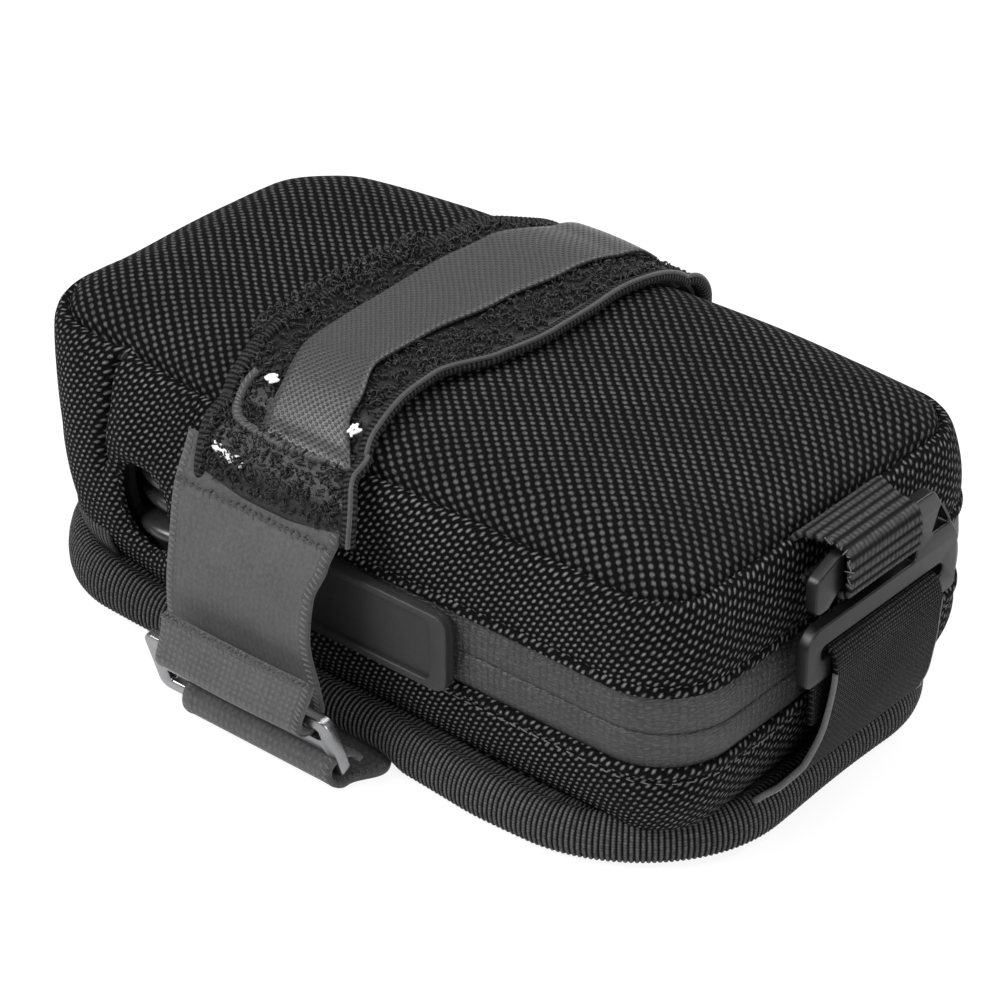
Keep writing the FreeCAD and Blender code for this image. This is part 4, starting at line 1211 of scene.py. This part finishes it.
def slotEdge():
    # stitched cord in a U round the place where the ribbon dips into the strap
    path = topStrapPath(topStrap["lift"] + topStrap["thick"] + slotCord["lift"], 600)
    route = curveThrough(slotCorners, 60)
    at = np.array([np.argmin(np.abs(path[:, 0] - y) + 1000 * (path[:, 1] < 50)) for y in route[:, 1]])
    up = inSpace(squareTo(path)[at])
    up = up * np.sign(up[:, 2:] - up[:, 1:2])
    line = np.stack([route[:, 0], path[at, 0], path[at, 1]], 1)
    shell = Shell()
    tubeAlong(shell, line, up, slotCord["wide"], slotCord["high"], sides=10)
    addStitches(shell, line, up, 1.1, 1.3, 0.4, 0.65, skew=0.9, slot=1, jitter=0.15)
    shell.build("slotEdge", "bag", "grosgrain", [paints["black"], paints["grey"]], ["ribbon_slot_edge"])


slotEdge()


# the tacks' places as x and height, a slanting row and then two stray bits
tacks = {"lift": 1.7, "each": 5, "radius": 0.36,
         "row": [(-21.0, 56.2), (-19.0, 55.6), (-17.2, 55.0), (-15.2, 54.6), (-13.3, 53.8), (-11.4, 53.4),
                 (-9.4, 52.6), (-7.6, 52.0), (-6.0, 51.2), (-4.4, 50.8)],
         "strays": [(-19.2, 65.6), (2.4, 64.4)]}


def tackRow():
    # every tack is a few short white stitches at odd angles
    path = topStrapPath(topStrap["lift"] + topStrap["thick"] + tacks["lift"], 600)
    square = squareTo(path)
    shell = Shell()
    template, faces = capsule(7, 7)
    for x, z in tacks["row"] + tacks["strays"]:
        at = np.argmin(np.abs(path[:, 1] - z) + 1000 * (path[:, 0] > -30))
        up = np.array([0, *square[at]])
        up = up * np.sign(up[2] - up[1])
        centre = np.array([x, *path[at]])
        for _ in range(tacks["each"]):
            turn = rng.normal() * 0.7 + 0.25
            right = np.array([1.0, 0, 0])
            forward = np.cross(up, right)
            along = right * math.cos(turn) + forward * math.sin(turn)
            middle = centre + right * rng.normal() * 0.6 + forward * rng.normal() * 0.4 + up * rng.uniform(-0.1, 0.3)
            radius = tacks["radius"]
            axes = np.stack([along * rng.uniform(0.8, 1.4), np.cross(up, along) * radius, up * radius])[None]
            shell.scatter(template, faces, middle[None], axes)
    shell.build("tackRow", "bag", "white_thread", [paints["white"]], ["bar_tack_row"], merge=0.0005)


tackRow()
print("stage: strap over the top")


# Grey cinch strap, its folded end, the buckle and the strap below

strapX0, strapX1 = size("under_strap")[:, 0]
strapThick = size("under_strap")[1][2]
buckle = {"tilt": 18.0, "pitch": 6.0, "bar": 3.0, "thick": 2.4, "inner": 39.5, "end": 3.2, "corner": 2.2,
          "edge": 0.45}
barLow = np.array([-56.5, 3.92])
tilt = math.radians(buckle["tilt"])
barTop = barLow + 2 * buckle["pitch"] * np.array([-math.sin(tilt), math.cos(tilt)])
loopRadius = math.hypot(buckle["bar"], buckle["thick"]) / 2 + 0.7 + strapThick / 2


def arcAround(centre, radius, start, end, count=9):
    # arc in the (y, z) plane, angles in degrees from +Y towards +Z
    angle = np.radians(np.linspace(start, end, count))
    return centre + radius * np.stack([np.cos(angle), np.sin(angle)], 1)


def strapSheet(shell, path, edges, thick, ragged, count, cup=0.0):
    # edges gives the strap's two sides from its line of (y, z) points
    line = curveThrough(path, count)
    x0, x1 = edges(line)
    share = np.linspace(0, 1, 16)[None]
    normal = squareTo(line)
    along = lengthAlong(line)
    waver = ragged * np.sin(along / 5.1 + ripple[6])[:, None] * (2 * share - 1)
    offset = cup * (np.sin(math.pi * share) - 0.5) + 0 * along[:, None]
    x = x0[:, None] + (x1 - x0)[:, None] * share + waver
    y = line[:, :1] + normal[:, :1] * offset
    z = line[:, 1:] + normal[:, 1:] * offset
    points = np.stack(np.broadcast_arrays(x, y, z), -1)
    uv = np.stack(np.broadcast_arrays(along[:, None], share * (strapX1 - strapX0)), -1)
    sheetOf(shell, points, uv, thick)
    return line, points, inSpace(normal), along[-1]


def selvedge(shell, points, up, parts, inset=0.9, length=1.7, width=0.42, proud=strapThick * 0.42, faces=(-1, 1)):
    # slanted ticks near both edges of a strap, on the faces and the parts of its length that are given
    for column, edge in ((0, 1), (-1, -1)):
        side = points[:, column] + np.array([edge * inset, 0, 0])
        for part in parts:
            for face in faces:
                addStitches(shell, side[part], up[part] * face, 1.15, length, width, proud, skew=1.35, slot=1)


cinch = {"thin": 0.75, "ragged": 0.3, "cup": 0.35, "seamZ": 48.0, "face": 0.35,
         "path": [(-50.2, 56.5), (-51.3, 53.4), (-52.9, 50.4), (-55.2, 45.5), (-57.4, 38.0), (-58.5, 30.0),
                  (-58.3, 22.0)]}


def cinchEdges(line):
    # slack strap: narrower in the middle, and the folded end runs askew
    z, folded = line[:, 1], np.arange(len(line)) > np.argmin(line[:, 1])
    left = valueAt([11, 20, 36, 50], [-27.4, -27.8, -28.0, -28.7], z)
    right = valueAt([11, 20, 30, 38, 45, 50], [8.1, 8.2, 6.8, 7.0, 8.6, 9.3], z)
    left = np.where(folded, valueAt([11, 25], [-27.4, -24.9], z), left)
    return left, np.where(folded, valueAt([11, 25], [8.1, 11.2], z), right)


def cinchStrap():
    # down from the pile strap, round the buckle's upper bar and back up as a flap
    low = arcAround(barTop, loopRadius, 0, -180, 13)
    flap = [(low[-1][0] + 0.1, barTop[1] + 4.0), (low[-1][0] + 0.5, barTop[1] + 9.4)]
    shell = Shell()
    line, points, up, length = strapSheet(shell, np.vstack([cinch["path"], low, flap]), cinchEdges,
                                          strapThick * cinch["thin"], cinch["ragged"], 150, cinch["cup"])
    selvedge(shell, points, up, [line[:, 1] > barTop[1] - 2])
    seam = np.argmin(np.abs(line[:, 1] - cinch["seamZ"]) + 1000 * (np.arange(len(line)) > 60))
    row = points[seam]
    rowUp = np.tile(up[seam], (len(row), 1))
    for lift, skew in ((0.0, 0.35), (-0.5, -0.3), (0.45, 0.1)):
        place = row + np.array([0, 0.1 * lift, lift])
        addStitches(shell, place, -rowUp, 1.5, 1.7, 0.45, strapThick * 0.45, skew=skew, slot=2, jitter=0.35)
    looks = [paints["strap"], paints["grey"], paints["black"]]
    strap = shell.build("cinchStrap", "bag", "grey_strap", looks, ["cinch_strap"])
    return line, points, up


cinchLine, cinchPoints, cinchUp = cinchStrap()


def flapFace():
    # the folded-back end: a thin dotted face over the fold, with a frayed top edge
    early = np.arange(len(cinchLine)) < 80
    start = np.argmin(np.abs(cinchLine[:, 1] - (barTop[1] - 3.0)) + 1000 * early)
    face = cinchPoints[start:]
    out = -cinchUp[start:] * np.sign(cinchUp[start + 8, 1])
    points = face + out[:, None, :] * (strapThick * 0.43 + 0.2)
    along = lengthAlong(cinchLine[start:])
    uv = np.stack(np.broadcast_arrays(along[:, None], np.linspace(0, 38, face.shape[1])[None]), -1)
    shell = Shell()
    sheetOf(shell, points, uv, cinch["face"])
    edge = evenly(points[-1], 90)
    outward = np.tile(out[-1], (len(edge), 1))
    place = edge + np.array([0, 0.2, 0.1])
    addStitches(shell, place, outward, 0.7, 1.5, 0.32, 0.1, skew=1.3, slot=1, jitter=0.5)
    for lift in (0.15, -0.35, -1.0):
        place = edge + np.array([0, 0, lift])
        addStitches(shell, place, outward, 1.1, 1.5, 0.42, 0.12, skew=0.25, slot=2, jitter=0.5)
    selvedge(shell, points, out, [slice(None)], inset=0.7, length=1.6, width=0.4, proud=0.2, faces=(1,))
    shell.build("cinchFlap", "bag", "grey_strap", [paints["flap"], paints["grey"], paints["black"]])


flapFace()


def lowerEdges(line):
    # the loop round the buckle is pulled towards the hook end, and the strap flares before it goes under
    left = strapX0 + 4.6 * valueAt([-60, -48], [1, 0], line[:, 0])
    return left, strapX1 + valueAt([-62, -56, -49, -38], [1.8, 3.6, 6.6, 0], line[:, 0])


def lowerStrap():
    # round the buckle's low bar, under the bag in its channel and up the far side
    ring = arcAround(barLow, loopRadius, 20, 270, 17)
    half = strapThick / 2
    under = [(-50.0, half), (-45.0, half), (-20.0, half), (20.0, half), (45.0, half)]
    turn = arcAround(np.array([48.0, half + 3.0]), 3.0, -90, 0, 5)
    rise = [(51.9, 12.0), (52.2, 24.0), (51.8, 34.0), (50.9, 42.0), (49.6, 48.0), (farTop[0] + 0.1, farTop[1])]
    shell = Shell()
    line, points, up, length = strapSheet(shell, np.vstack([ring, under, turn, rise]), lowerEdges,
                                          strapThick * 0.85, 0.3, 300)
    shown, near = np.abs(line[:, 0]) > 47.5, line[:, 0] < 0
    selvedge(shell, points, up, [shown & near, shown & ~near])
    nodes = ["lower_strap", "under_strap", "far_strap"]
    strap = shell.build("lowerStrap", "bag", "grey_strap", [paints["flap"], paints["grey"]], nodes)


lowerStrap()


def buckleFrame():
    # flat plate with two long slots, stood up and tilted
    half = buckle["inner"] / 2 + buckle["end"]
    low, high = -buckle["bar"] / 2, 2 * buckle["pitch"] + buckle["bar"] / 2
    outline = roundCorners([(-half, low), (half, low), (half, high), (-half, high)], [buckle["corner"]] * 4)
    holes = []
    for k in range(2):
        z0 = k * buckle["pitch"] + buckle["bar"] / 2
        z1 = (k + 1) * buckle["pitch"] - buckle["bar"] / 2
        x = buckle["inner"] / 2
        holes.append(roundCorners([(-x, z0), (x, z0), (x, z1), (-x, z1)], [0.7] * 4))
    plate = plateFrom(outline, holes, buckle["thick"], buckle["edge"])
    origin = ((strapX0 + strapX1) / 2, barLow[0], barLow[1])
    standPlates("buckleFrame", [(plate, 0.0)], origin, (1, 0, 0), (0, -math.sin(tilt), math.cos(tilt)),
                "buckle", "polished_metal", [paints["chrome"]], ["three_bar_buckle"])


buckleFrame()
print("stage: cinch strap and buckle")


# Moulded wing tabs under the strap, one on each side

wing = {"base": 1.6, "rim": 1.0, "rimWide": 1.6, "endRim": 3.9, "corner": 3.0, "edge": 0.35}


def wingTab(name, node, side):
    # flat plate with a raised rim all round it, widest at one end; the far one is its mirror image
    low, high = size(node)
    x0, x1, z0, z1 = low[0], high[0], low[2], high[2]
    outline = roundCorners([(x0, z0), (x1, z0), (x1, z1), (x0, z1)], [0.8, wing["corner"], wing["corner"], 0.8])
    inner = [(x0 + 2, z0 + wing["rimWide"]), (x1 - wing["endRim"], z0 + wing["rimWide"]),
             (x1 - wing["endRim"], z1 - wing["rimWide"]), (x0 + 2, z1 - wing["rimWide"])]
    base = plateFrom(outline, [], wing["base"], wing["edge"])
    rim = plateFrom(outline, [roundCorners(inner, [0.6, 1.6, 1.6, 0.6])], wing["rim"] + 0.6, wing["edge"])
    back = low[1] if side > 0 else high[1]
    right = (1, 0, 0) if side < 0 else (-1, 0, 0)
    if side > 0:
        for mesh in (base, rim):
            flat = np.empty(len(mesh.vertices) * 3)
            mesh.vertices.foreach_get("co", flat)
            flat[0::3] *= -1
            mesh.vertices.foreach_set("co", flat)
    plates = [(base, wing["base"] / 2), (rim, wing["base"] + wing["rim"] / 2 - 0.3)]
    standPlates(name, plates, (0, back, 0), right, (0, 0, 1), "bag", "moulded_rubber", [paints["rubber"]], [node])


wingTab("wingNear", "wing_near", -1)
wingTab("wingFar", "wing_far", 1)


# Hook end: the flat hook, its cloth tab and the webbing loop

hook = {"bar": 4.3, "slot": 2.8, "gap": 5.6, "leg": 4.2, "block": 12.5, "chamfer": 8.0, "edge": 0.4,
        "tipIn": 2.0, "tipWide": 3.5, "tipReach": 8.0, "tipDrop": 2.5, "hole": 5.4, "holeIn": 5.5, "holeUp": 3.5}
hookLow, hookHigh = size("g_hook")


def gHook():
    # flat plate: a slotted bar for the cloth tab, a block with a small hole, and an arm with its tip turned down
    left, right, low, top = hookLow[1], hookHigh[1], hookLow[2], hookHigh[2]
    slotLow = low + hook["bar"]
    slotTop = slotLow + hook["slot"]
    crossTop = slotTop + hook["bar"]
    armLow = crossTop + hook["gap"]
    block = right - hook["block"]
    tip, tipLow = left + hook["tipIn"], armLow - hook["tipDrop"]
    corners = [(left, low), (right, low), (right, crossTop), (right - hook["chamfer"], top),
               (left + hook["tipReach"], top), (tip, top - 2.5), (tip, tipLow), (tip + hook["tipWide"], tipLow),
               (left + hook["tipReach"] + 0.6, armLow), (block, armLow), (block, crossTop), (left, crossTop)]
    radii = [1.6, 1.6, 4.0, 2.4, 3.0, 2.0, 1.5, 1.5, 1.0, 1.2, 1.2, 4.2]
    slotLeft, slotRight = left + hook["leg"], right - hook["leg"]
    slot = [(slotLeft, slotLow), (slotRight, slotLow), (slotRight, slotTop), (slotLeft, slotTop)]
    middle, half = right - hook["holeIn"], hook["hole"] / 2
    z = crossTop + hook["holeUp"]
    triangle = [(middle - half, z), (middle + half, z), (middle - 0.2, z + hook["hole"])]
    holes = [roundCorners(slot, [1.2] * 4), roundCorners(triangle, [0.5] * 3)]
    plate = plateFrom(roundCorners(corners, radii), holes, hookHigh[0] - hookLow[0], hook["edge"])
    origin = ((hookLow[0] + hookHigh[0]) / 2, 0, 0)
    standPlates("gHook", [(plate, 0.0)], origin, (0, 1, 0), (0, 0, 1), "hook", "black_anodised",
                [paints["anodised"]], ["g_hook"])


gHook()


# the tab's sides as y at stations of height, for the front face, and straight for the back
tab = {"cloth": 1.0, "cordWide": 0.42, "cordHigh": 0.62, "heights": [9, 12, 16, 26, 35, 42],
       "left": [-21.5, -19.0, -15.0, -13.6, -13.6, -14.4], "right": [23.5, 22.0, 19.8, 18.4, 17.4, 17.4],
       "backLeft": -13.9, "backRight": 17.0}


def hookTab():
    # cloth folded round the hook's lowest bar, its front face running down to the binding
    back, count, turn = size("hook_tab_back"), 150, 62
    barX = (hookLow[0] + hookHigh[0]) / 2
    xBack, xFront = (back[0][0] + back[1][0]) / 2, size("hook_tab")[1][0] - 0.6
    top = size("hook_tab")[1][2] - 0.6
    path = [(xBack, back[0][2]), (xBack, 30.0), (xBack - 0.1, 35.0), (xBack + 0.1, top - 2.0),
            (xBack + 1.2, top - 0.3), (barX, top), (xFront - 0.9, top - 0.3), (xFront, top - 2.2),
            (xFront, 35.5), (88.4, 29.0), (86.9, 22.0), (85.0, 16.5), (82.6, 12.4), (80.2, 10.2), (78.6, 8.6)]
    line = curveThrough(path, count)
    along = lengthAlong(line)
    front = np.arange(count) > turn
    z = line[:, 1]
    y0 = np.where(front, valueAt(tab["heights"], tab["left"], z), tab["backLeft"])
    y1 = np.where(front, valueAt(tab["heights"], tab["right"], z), tab["backRight"])
    share = np.linspace(0, 1, 26)[None]
    belly = np.where(front, 0.5 * bump(z, 27, 6), 0)[:, None] * np.sin(math.pi * share)
    y = y0[:, None] * (1 - share) + y1[:, None] * share
    points = np.stack(np.broadcast_arrays(line[:, :1] + belly, y, line[:, 1:]), -1)
    uv = np.stack(np.broadcast_arrays(along[:, None], share * 32), -1)
    shell = Shell()
    sheetOf(shell, points, uv, tab["cloth"])
    tangent = unit(np.gradient(line, axis=0))[turn + 4:]
    up = np.stack([tangent[:, 1], 0 * tangent[:, 0], -tangent[:, 0]], 1)
    up = up * np.sign(up[10, 0])
    for column in (0, -1):
        tubeAlong(shell, points[turn + 4:, column], up, tab["cordWide"], tab["cordHigh"], sides=8, slot=1)
    looks = [paints["fine"], paints["grey"]]
    piece = shell.build("hookTab", "bag", "tab_cloth", looks, ["hook_tab", "hook_tab_back"])


hookTab()


webbing = {"thick": 1.0, "ridge": 2.05, "depth": 0.3, "cell": 1.25, "flare": 2.8}


def webbingLoop():
    # coarse webbing from the top seam round the hook's arm and back; ridges run across the band
    low, high = size("webbing_loop")
    inner, count = low[2] + 0.8, 190
    path = [(77.0, 58.2), (79.0, 60.4), (82.5, 61.2), (86.3, 61.2), (89.2, 60.2), (89.9, 57.5), (89.9, 54.0),
            (89.1, 51.7), (85.5, inner), (81.5, inner), (79.2, inner + 0.6)]
    line = curveThrough(path, count)
    along = lengthAlong(line)
    share = np.linspace(0, 1, 70)[None]
    width = high[1] - low[1]
    # the upper run widens towards the seam
    back = valueAt([77, 86], [1, 0], line[:, 0])[:, None] * (line[:, 1] > 57)[:, None]
    left, right = low[1] + 0.3, high[1] - 1.6 + webbing["flare"] * back
    y = left + (right - left) * share + 0.3 * np.sin(along / 2.3)[:, None] * (2 * share - 1)
    ridge = np.abs(np.sin(along * math.pi / webbing["ridge"]))[:, None] ** 0.7
    stagger = math.pi / 2 * np.floor(along / webbing["ridge"])[:, None]
    chain = 0.75 + 0.25 * np.abs(np.sin(math.pi * share * width / webbing["cell"] + stagger))
    thick = webbing["thick"] + webbing["depth"] * (ridge * chain - 0.5) * 2
    points = np.stack(np.broadcast_arrays(line[:, :1], y, line[:, 1:]), -1)
    uv = np.stack(np.broadcast_arrays(along[:, None], share * width), -1)
    shell = Shell()
    sheetOf(shell, points, uv, np.clip(thick, 0.4, None))
    fray = evenly(points[int(count * 0.2):int(count * 0.62), 0], 60)
    away = np.tile([0.3, -1.0, 0.1], (60, 1))
    addStitches(shell, fray, away, 0.9, 1.5, 0.28, 0.1, skew=0.6, slot=1, jitter=0.9)
    loop = shell.build("webbingLoop", "bag", "webbing", [paints["webbing"], paints["grey"]], ["webbing_loop"])
    width * mm


webbingLoop()
print("stage: hook end")


# Zip slider and pull on the far side

slider = {"round": 2.0, "leg": 1.2, "knuckle": 3.2, "wall": 0.9, "clear": 0.35, "pin": 0.7, "body": 3.2,
          "rim": 1.6}
pullBox, sliderBox = size("zip_pull"), size("zip_slider")
sliderMiddle = (sliderBox[0][0] + sliderBox[1][0]) / 2
pinY = sliderBox[1][1] - slider["pin"]
pinZ = pullBox[1][2] - slider["pin"] - slider["clear"] - slider["wall"]


def block(x0, x1, z0, z1, radius, thick, edge, steps=8):
    # rectangular plate with rounded corners
    ring = roundCorners([(x0, z0), (x1, z0), (x1, z1), (x0, z1)], [radius] * 4, steps)
    return plateFrom(ring, [], thick, edge)


def zipSlider():
    # rounded body with a raised waist, and two legs that carry the pull's pin
    z0, z1 = sliderBox[0][2], sliderBox[1][2]
    face0, face1 = podHalf + slider["clear"], podHalf + slider["clear"] + slider["body"]
    half, rim = (sliderBox[1][0] - sliderBox[0][0]) / 2, slider["rim"]
    inside = slider["knuckle"] / 2 + slider["clear"]
    plates = [(block(-half, half, z0, z1, slider["round"], face1 - face0, 0.7), (face0 + face1) / 2)]
    plates.append((block(-half + rim, half - rim, z0 + rim, z1 - rim, 1.2, 0.9, 0.3), face1 + 0.15))
    for side in (-1, 1):
        x, r = side * (inside + slider["leg"] / 2), slider["leg"] / 2
        leg = block(x - r, x + r, pinZ - 0.7, pinZ + 0.7, 0.25, sliderBox[1][1] - face1 + 0.4, 0.25, 4)
        plates.append((leg, (sliderBox[1][1] + face1 - 0.4) / 2))
    standPlates("zipSlider", plates, (sliderMiddle, 0, 0), (-1, 0, 0), (0, 0, 1), "slider", "zip_metal",
                [paints["zipMetal"]], ["zip_slider"])
    shell = Shell()
    line = np.stack([np.linspace(-inside, inside, 8) + sliderMiddle, np.full(8, pinY), np.full(8, pinZ)], 1)
    tubeAlong(shell, line, np.tile([0.0, 0, 1], (8, 1)), slider["pin"], slider["pin"], sides=16)
    shell.build("zipSliderPin", "slider", "zip_metal", [paints["zipMetal"]])


def zipPull():
    # flat tab with a neck, a hole and grip ridges, and a round knuckle on the pin
    low, high = pullBox
    half = (high[0] - low[0]) / 2
    neck = slider["knuckle"] / 2
    top, neckTop = pinZ - 2.8, pinZ - 1.3
    corners = [(-half, low[2]), (half, low[2]), (half, top), (neck, top), (neck, neckTop), (-neck, neckTop),
               (-neck, top), (-half, top)]
    outline = roundCorners(corners, [2.4, 2.4, 0.7, 0.2, 0.2, 0.2, 0.2, 0.7])
    angle = np.linspace(0, 2 * math.pi, 24, endpoint=False)
    hole = np.stack([1.3 * np.cos(angle), low[2] + 3.4 + 1.3 * np.sin(angle)], 1)
    ridges = [(block(-1.9, 1.9, z, z + 0.8, 0.3, 1.7, 0.25, 4), pinY) for z in np.arange(low[2] + 7, top - 2, 2.0)]
    plates = [(plateFrom(outline, [hole], 1.2, 0.3), pinY)] + ridges
    standPlates("zipPull", plates, (sliderMiddle, 0, 0), (-1, 0, 0), (0, 0, 1), "pull", "zip_metal",
                [paints["zipMetal"]], ["zip_pull"])
    shell = Shell()
    x = np.linspace(-neck, neck, 6) + sliderMiddle
    turn = np.linspace(0, 2 * math.pi, 28, endpoint=False)[:, None]
    inner = slider["pin"] + slider["clear"]
    outer = inner + slider["wall"]
    section = np.array([(x[0], inner), (x[0], outer), (x[-1], outer), (x[-1], inner)])
    across, radius = section[None, :, 0], section[None, :, 1]
    ring = np.broadcast_arrays(across, pinY + np.cos(turn) * radius, pinZ + np.sin(turn) * radius)
    shell.grid(np.stack(ring, -1), np.zeros((29, 5, 2)), closedU=True, closedV=True)
    shell.build("zipPullKnuckle", "pull", "zip_metal", [paints["zipMetal"]], smooth=False)


zipSlider()
zipPull()
print("stage: zip slider and pull")


# Thread lines along the zip band and the gussets

def bandStitches(name, height, outset, pitch, length, width, paint):
    # a row of stitches round the zip side of the pod at one height
    z = np.full(len(hookStations), height)
    line = onPod(hookStations, z, outset + slowWaves(hookStations * podStep, z))
    shell = Shell()
    addStitches(shell, line, np.pad(podNormal[hookStations], ((0, 0), (0, 1))), pitch, length, width, 0.3, jitter=0.08)
    shell.build(name, "bag", "grosgrain", [paints[paint]], merge=0.0005)


bandStitches("upperStitchLine", weltTop + 2.0, 0.75, 2.9, 2.2, 0.34, "black")
bandStitches("lowerStitchLine", weltLow - 1.3, 0.35, 2.6, 1.9, 0.4, "grey")

# inner pieces are shown as their CAD nodes, with these finishes
for node, paint in (("pod_liner", "lining"), ("pod_floor", "lining"), ("divider", "lining"), ("floor_foam", "foam"),
                    ("zip_coil", "plastic"), ("zip_stops", "zipMetal")):
    frame["nodes"][node].data.materials.clear()
    frame["nodes"][node].data.materials.append(paints[paint])
print("stage: thread lines and inner pieces")


# Floor, lights, world and camera

studio = {"azimuth": 40.4, "elevation": 33.0, "lens": 162.0, "distance": 0.8429,
          "target": (0.0004, 0.0013, 0.028), "floor": 0.86, "floorReach": 4.0, "glow": 0.8, "glowLevel": 1.08,
          "world": 0.18}
lamps = {"key": ((-0.55, -0.75, 0.95), (0, 0, 0.03), 20.0, 0.7), "fill": ((0.95, -0.45, 0.5), (0, 0, 0.03), 7.5, 0.6),
         "top": ((0.05, 0.1, 1.2), (0, 0, 0.03), 7.0, 0.8), "rim": ((0.3, 0.95, 0.7), (0, 0, 0.04), 8.0, 0.6)}


def floorPaint():
    # pale matt floor that also glows white for the camera and in reflections, and still takes the shadow
    paint = Paint("paleFloor", "Object", **{"Roughness": 0.9, "Base Color": (studio["floor"],) * 3 + (1,)})
    glow = paint.node("ShaderNodeEmission", {}, {"Color": (1, 1, 1, 1), "Strength": studio["glowLevel"]})
    path = paint.node("ShaderNodeLightPath")
    seen = Num(paint, path.outputs["Is Camera Ray"]).larger(Num(paint, path.outputs["Is Glossy Ray"]))
    seen = seen.larger(Num(paint, path.outputs["Is Transmission Ray"])) * studio["glow"]
    mix = paint.node("ShaderNodeMixShader", {}, {0: seen, 1: paint.shader.outputs[0], 2: glow.outputs[0]})
    output = next(node for node in paint.tree.nodes if node.type == "OUTPUT_MATERIAL")
    paint.tree.links.new(mix.outputs[0], output.inputs["Surface"])
    return paint.material


def floor():
    mesh = bpy.data.meshes.new("floor")
    reach = studio["floorReach"]
    corners = [(-reach, -reach, 0), (reach, -reach, 0), (reach, reach, 0), (-reach, reach, 0)]
    mesh.from_pydata(corners, [], [(0, 1, 2, 3)])
    mesh.materials.append(floorPaint())
    piece = bpy.data.objects.new("floor", mesh)
    bpy.context.scene.collection.objects.link(piece)


def areaLight(name, spot, aim, power, width):
    # square lamp at a spot, turned to face its aim
    data = bpy.data.lights.new(name, "AREA")
    data.energy, data.size = power, width
    lamp = bpy.data.objects.new(name, data)
    lamp.location = spot
    direction = np.array(aim) - np.array(spot)
    yaw, level = math.atan2(direction[1], direction[0]), math.hypot(direction[0], direction[1])
    lamp.rotation_euler = (math.atan2(level, -direction[2]), 0, yaw - math.pi / 2)
    bpy.context.scene.collection.objects.link(lamp)


def world():
    # soft even light on the object, and plain white for the camera
    made = bpy.data.worlds.new("studio")
    made.use_nodes = True
    nodes, links = made.node_tree.nodes, made.node_tree.links
    nodes.clear()
    white, soft = nodes.new("ShaderNodeBackground"), nodes.new("ShaderNodeBackground")
    white.inputs[0].default_value = (1, 1, 1, 1)
    soft.inputs[0].default_value = (1, 1, 1, 1)
    soft.inputs[1].default_value = studio["world"]
    path, mix = nodes.new("ShaderNodeLightPath"), nodes.new("ShaderNodeMixShader")
    output = nodes.new("ShaderNodeOutputWorld")
    links.new(path.outputs["Is Camera Ray"], mix.inputs[0])
    links.new(soft.outputs[0], mix.inputs[1])
    links.new(white.outputs[0], mix.inputs[2])
    links.new(mix.outputs[0], output.inputs[0])
    bpy.context.scene.world = made


def camera():
    # on a sphere round its target, looking at it
    azimuth, elevation = math.radians(studio["azimuth"]), math.radians(studio["elevation"])
    level = math.cos(elevation)
    back = np.array([math.sin(azimuth) * level, -math.cos(azimuth) * level, math.sin(elevation)])
    data = bpy.data.cameras.new("camera")
    data.lens, data.sensor_width = studio["lens"], 36.0
    seen = bpy.data.objects.new("camera", data)
    seen.location = np.array(studio["target"]) + back * studio["distance"]
    seen.rotation_euler = (math.pi / 2 - elevation, 0, azimuth)
    bpy.context.scene.collection.objects.link(seen)
    bpy.context.scene.camera = seen


floor()
for name, values in lamps.items():
    areaLight(name, *values)
world()
camera()
bpy.context.scene.view_settings.view_transform = "Standard"
print("stage: studio")
